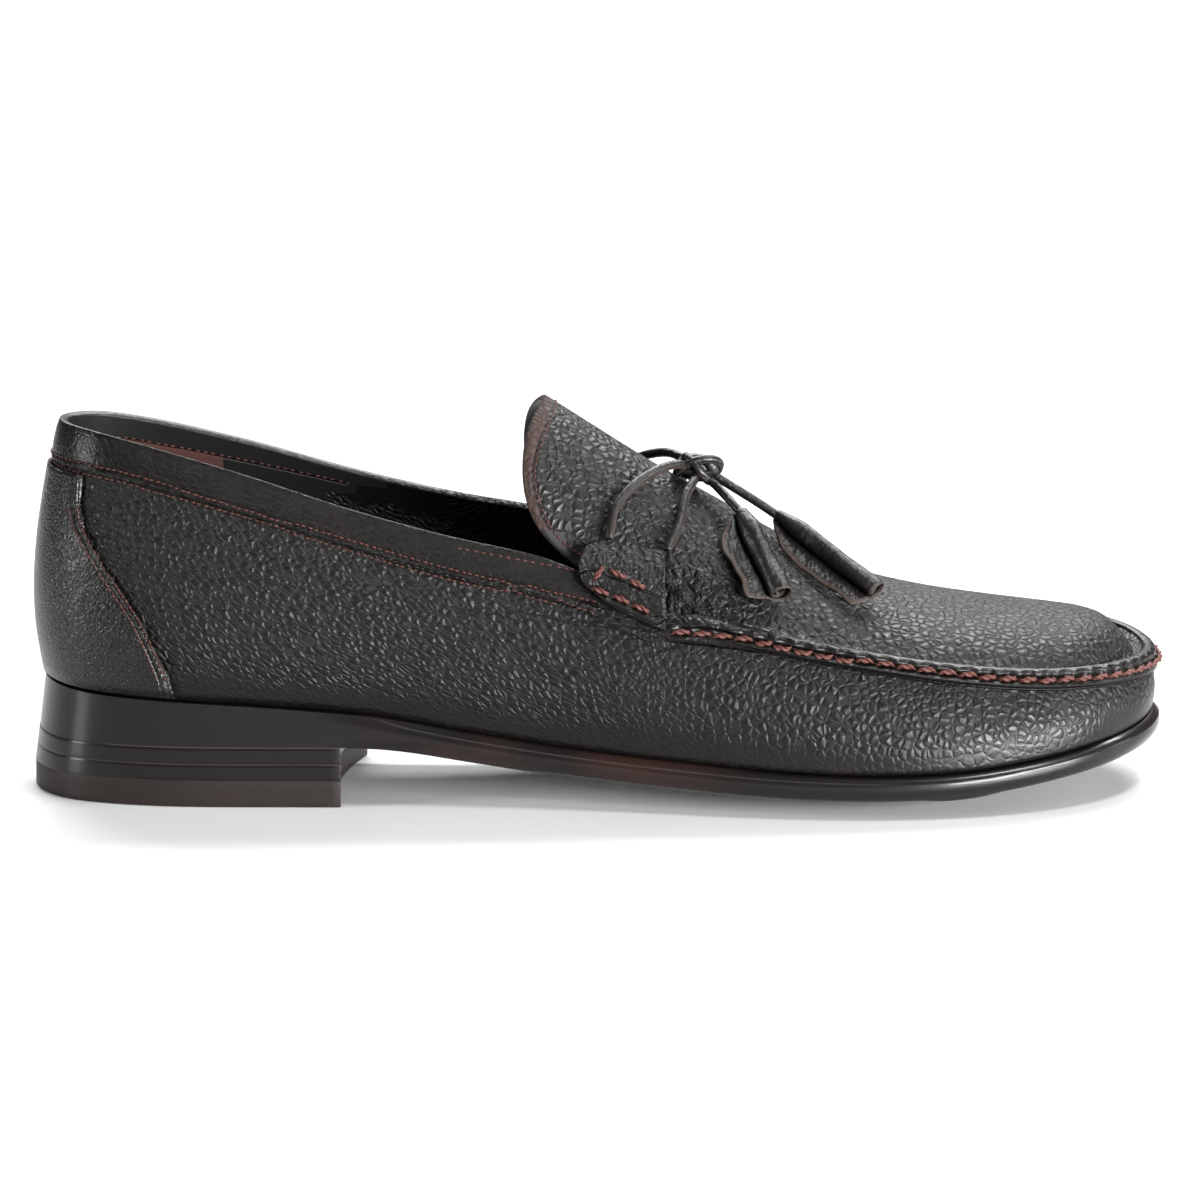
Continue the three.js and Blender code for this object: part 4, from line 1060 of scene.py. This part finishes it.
def widen_counter(counter, skin):
    """Draws the counter's front edge forward over the quarter, and tells each point's gap to it."""
    points = places(counter)
    heights, lengths = (np.array(column, float) for column in zip(*COUNTER_EDGE_MM))
    wanted = np.interp(points[:, 2] / MM, heights, lengths) * MM
    fronts = []
    for level in COUNTER_LEVELS:
        near = np.abs(points[:, 2] - level) < COUNTER_LEVEL_REACH
        fronts.append(points[near, 0].max() if near.any() else COUNTER_FRONT)
    present = np.interp(points[:, 2], COUNTER_LEVELS, fronts)
    share = np.clip((points[:, 0] - COUNTER_BACK) / (present - COUNTER_BACK), 0, 1)
    drawn = points[:, 0] + (wanted - present) * share
    for k in np.nonzero(share > 0)[0]:
        point = Vector(points[k])
        side = -1 if point.y < MIDDLE_ACROSS else 1
        inward = Vector((0, -side, 0))
        before = skin.ray_cast(Vector((point.x, side * OUTSIDE_SHOE, point.z)), inward)[0]
        after = skin.ray_cast(Vector((drawn[k], side * OUTSIDE_SHOE, point.z)), inward)[0]
        points[k, 0] = drawn[k]
        if before and after:
            points[k, 1] += after.y - before.y
    move_to(counter, points)
    return (wanted - points[:, 0]) / MM


def make_counter(upper_skin):
    """The heel counter with two rows of stitches along its front edge on each side."""
    counter = node_copy("heel_counter_leather", "heel_counter")
    keep_corners(counter, NOTCHED_ANGLE)
    smooth_over(counter, 2)
    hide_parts("heel_counter")
    edge_gap = widen_counter(counter, upper_skin)
    skin = skin_of(counter)
    thin = small_stitch(*THIN_STITCH)
    for name, side in SIDES.items():
        for row, inset in COUNTER_ROWS:
            line = []
            for height, along in COUNTER_EDGE_MM[1:-1]:
                origin = Vector(((along - inset) * MM, side * OUTSIDE_SHOE, height * MM))
                line.append(skin.ray_cast(origin, Vector((0, -side, 0)))[0])
            sew(f"counter_stitches_{name}_{row}", Guide(line, skin), skin, thin, THIN_PITCH, THIN_THREAD)
    write_measure(counter, "edge_distance", edge_gap)
    dress(counter, "smooth_leather", SMOOTH)
    shade_smooth(counter)


def gap_to_raw_edge(piece, route):
    """How far each point lies, round the thong, from the raw edge that runs along it, in millimetres."""
    gaps = []
    for place, normal in zip(places(piece), normals(piece)):
        place, normal = Vector(place), Vector(normal)
        k = min(range(len(route) - 1), key=lambda i: ((route[i] + route[i + 1]) / 2 - place).length)
        along = (route[k + 1] - route[k]).normalized()
        edge = (RAW_EDGE_SIDE - along * RAW_EDGE_SIDE.dot(along)).normalized()
        across = (normal - along * normal.dot(along)).normalized()
        gaps.append(math.acos(max(min(edge.dot(across), 1), -1)) * LACE_RADIUS)
    return gaps


def thong(name, points, radius):
    """A thong folded round on itself that follows the points."""
    line = smooth_line(points, THONG_STEPS)
    bpy.ops.mesh.primitive_cylinder_add(vertices=THONG_SIDES, radius=radius, depth=1, end_fill_type="NGON")
    piece = bpy.context.object
    piece.name = name
    bpy.ops.object.mode_set(mode="EDIT")
    for share in (0, *(k / len(line) - 0.5 for k in range(1, len(line)))):
        bpy.ops.mesh.select_all(action="SELECT")
        bpy.ops.mesh.bisect(plane_co=(0, 0, share), plane_no=(0, 0, 1))
    bpy.ops.object.mode_set(mode="OBJECT")
    points = places(piece)
    up = Vector((0, 0, 1))
    gaps = []
    for row in points:
        at = (row[2] + 0.5) * (len(line) - 1)
        k = min(int(at), len(line) - 2)
        along = (line[k + 1] - line[k]).normalized()
        across = along.cross(up).normalized()
        over = across.cross(along)
        turn = math.atan2(row[1], row[0]) + FOLD_TURN
        fold = 1 - FOLD_DEPTH * math.exp(-((turn / FOLD_WIDTH) ** 2))
        gaps.append(abs(turn) * LACE_RADIUS)
        row[:] = line[k].lerp(line[k + 1], at - k) + (across * row[0] + over * row[1]) * fold
    move_to(piece, points)
    write_measure(piece, "raw_edge", gaps)
    smooth_over(piece, 1)
    dress(piece, "lace", THONG)
    shade_smooth(piece, math.pi)
    return piece


def make_knot():
    """The knot with the two turns of thong that show on it."""
    knot = node_copy("lace_knot_leather", "lace_knot")
    points = places(knot)
    middle = points.mean(axis=0)
    move_to(knot, middle + (points - middle) * KNOT_FULLNESS)
    smooth_over(knot, 1)
    write_measure(knot, "raw_edge", np.full(len(knot.data.vertices), NO_RAW_EDGE))
    dress(knot, "lace", THONG)
    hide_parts("lace_knot")
    shade_smooth(knot)
    turns = [
        thong(f"knot_turn_{name}", [Vector(middle) + Vector(p) * MM for p in turn], LACE_RADIUS * MM)
        for name, turn in KNOT_TURNS_MM.items()
    ]
    return [knot, *turns]


def make_keeper(name):
    """A keeper with its puffed strip between two rows of stitches."""
    keeper = node_copy("keeper_leather_" + name, "keeper_" + name)
    keep_corners(keeper, NOTCHED_ANGLE)
    smooth_over(keeper, 3)
    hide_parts("keeper_" + name)
    skin = skin_of(keeper)
    for row, pixels in (("lower", KEEPER_LOWER_ROW), ("upper", KEEPER_UPPER_ROW)):
        if name == "lateral":
            line = from_photo(skin, pixels)
        else:
            line = on_other_side(skin, from_photo(node_skin("keeper_lateral"), pixels))
        guide = Guide(line, skin)
        sew(f"keeper_stitches_{name}_{row}", guide, skin, twisted_stitch(*KEEPER_STITCH), SEAM_PITCH * MM,
            THICK_THREAD, lift=KEEPER_LIFT)
        if row == "lower":
            strip_side = guide.measure(places(keeper))[0]
    write_measure(keeper, "seam_side", strip_side)
    puffed = np.clip(1 - ((strip_side - STRIP_MIDDLE) / STRIP_HALF_WIDTH) ** 2, 0, 1) * STRIP_PUFF
    move_to(keeper, places(keeper) + normals(keeper) * puffed[:, None])
    for measure, value in KEEPER_MEASURES.items():
        write_measure(keeper, measure, np.full(len(keeper.data.vertices), value))
    dress(keeper, "grained_leather", GRAINED)
    shade_smooth(keeper)


def make_strand(strand, name):
    """A strand of the lace between keeper and knot."""
    lace = node_copy(f"lace_thong_{strand}_{name}", f"lace_{strand}_{name}")
    smooth_over(lace, 2)
    route = [Vector(p) * MM for p in LACE_ROUTES_MM[strand, name]]
    write_measure(lace, "raw_edge", gap_to_raw_edge(lace, route))
    dress(lace, "lace", THONG)
    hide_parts(f"lace_{strand}_{name}")
    if strand == "rear":
        [tuple(p) for p in smooth_line(route, CORD_STEPS)]
    shade_smooth(lace, math.pi)


def rolled_tassel(name, plan):
    """A strip of leather rolled up tightly, its outer end left loose as a flap."""
    top, end = Vector(plan["top"]) * MM, Vector(plan["end"]) * MM
    along = (end - top).normalized()
    over = (Vector(plan["up"]) - along * along.dot(Vector(plan["up"]))).normalized()
    across = along.cross(over)
    length, radius = (end - top).length, plan["radius"] * MM
    bpy.ops.mesh.primitive_grid_add(x_subdivisions=ROLL_CELLS[0], y_subdivisions=ROLL_CELLS[1], size=1)
    piece = bpy.context.object
    piece.name = "tassel_roll_" + name
    points = places(piece)
    gaps = []
    for row in points:
        wound, down = row[0] + 0.5, row[1] + 0.5
        loose = max(wound - LOOSE_FROM, 0) / (1 - LOOSE_FROM)
        inner = min(wound / LOOSE_FROM, 1)
        turn = plan["flap_turn"] - (1 - inner) * plan["turns"] * 2 * math.pi + loose * LOOSE_TURN
        reach = radius * (ROLL_CORE + (1 - ROLL_CORE) * inner) + plan["flap"] * MM * loose
        neck = min(down / NECK_SHARE, 1)
        neck = NECK_WIDTH + (1 - NECK_WIDTH) * neck * neck * (3 - 2 * neck)
        ripple = 1 + 0.05 * math.sin(turn * 3 + down * 9) + 0.03 * math.sin(down * 23 + turn)
        reach *= neck * ripple
        slant = 1.1 * MM * math.sin(turn * 0.5 + 1) + 0.5 * MM * math.sin(wound * 9)
        depth = down * length + slant * down * down + loose * (0.12 - 0.2 * down) * length * 0.6
        gaps.append(min((1 - down) * length, (1 - wound) * STRIP_LENGTH) / MM)
        row[:] = top + along * depth + (across * math.cos(turn) + over * math.sin(turn)) * reach
    move_to(piece, points)
    write_measure(piece, "raw_edge", gaps)
    finish_with(piece, "SOLIDIFY", thickness=ROLL_WALL, offset=0.0)
    smooth_over(piece, 1)
    dress(piece, "lace", THONG)
    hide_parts("tassel_" + name)
    shade_smooth(piece, math.radians(50))


def make_sole():
    """Outsole and midsole as one body of leather with an inked edge."""
    sole = node_copy("sole_edge_leather", "outsole")
    upper_layer = node_copy("midsole_part", "midsole")
    delete_faces(sole, lambda face: face.normal.z > LEVEL_FACE)
    delete_faces(upper_layer, lambda face: face.normal.z < -LEVEL_FACE)
    join_at_open_edges(sole, upper_layer, SOLE_WELD)
    keep_corners(sole)
    smooth_over(sole, 2)
    write_measure(sole, "edge_up", np.full(len(sole.data.vertices), SOLE_EDGE_UP))
    dress(sole, "sole_edge", INKED)
    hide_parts("outsole", "midsole")
    shade_smooth(sole, SHARP_ANGLE)


def make_heel_layer(node):
    """A lift or the top piece of the heel, its edges just broken."""
    layer = node_copy(node + "_layer", node)
    keep_corners(layer)
    smooth_over(layer, 2)
    finish_with(layer, "BEVEL", width=LAYER_BEVEL, segments=2, limit_method="ANGLE", angle_limit=LAYER_ANGLE)
    write_measure(layer, "edge_up", np.zeros(len(layer.data.vertices)))
    if node == "top_piece":
        dress(layer, "top_piece", HEEL_RUBBER)
    else:
        dress(layer, "sole_edge", INKED)
    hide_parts(node)
    shade_smooth(layer, SHARP_ANGLE)


def make_sock():
    """The sock that lines the insole."""
    sock = node_copy("sock_lining", "insole")
    keep_corners(sock)
    smooth_over(sock, 2)
    write_measure(sock, "binding_side", np.full(len(sock.data.vertices), SOCK_TO_BINDING))
    dress(sock, "lining", LINED)
    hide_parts("insole")
    shade_smooth(sock)


set_up_camera()
light_the_set()
lay_floor()

GRAINED = grained_leather()
SMOOTH = smooth_leather()
LINED = lining_leather()
NAPPED = suede_edge()
THONG = lace_leather()
THICK_THREAD = waxed_thread("thick_thread", THREAD, THREAD_DARK)
THIN_THREAD = waxed_thread("thin_thread", SEAM_THREAD, THREAD_DARK)
INKED = sole_edge()
HEEL_RUBBER = heel_rubber()

make_counter(make_upper())
knot_pieces = make_knot()
for name in SIDES:
    make_keeper(name)
    for strand in ("rear", "front"):
        make_strand(strand, name)
for name, plan in TASSELS.items():
    rolled_tassel(name, plan)
    thong(f"tassel_stem_{name}", [Vector(p) * MM for p in plan["stem"]], STEM_RADIUS * MM)
make_sole()
for node in HEEL_LAYERS:
    make_heel_layer(node)
make_sock()
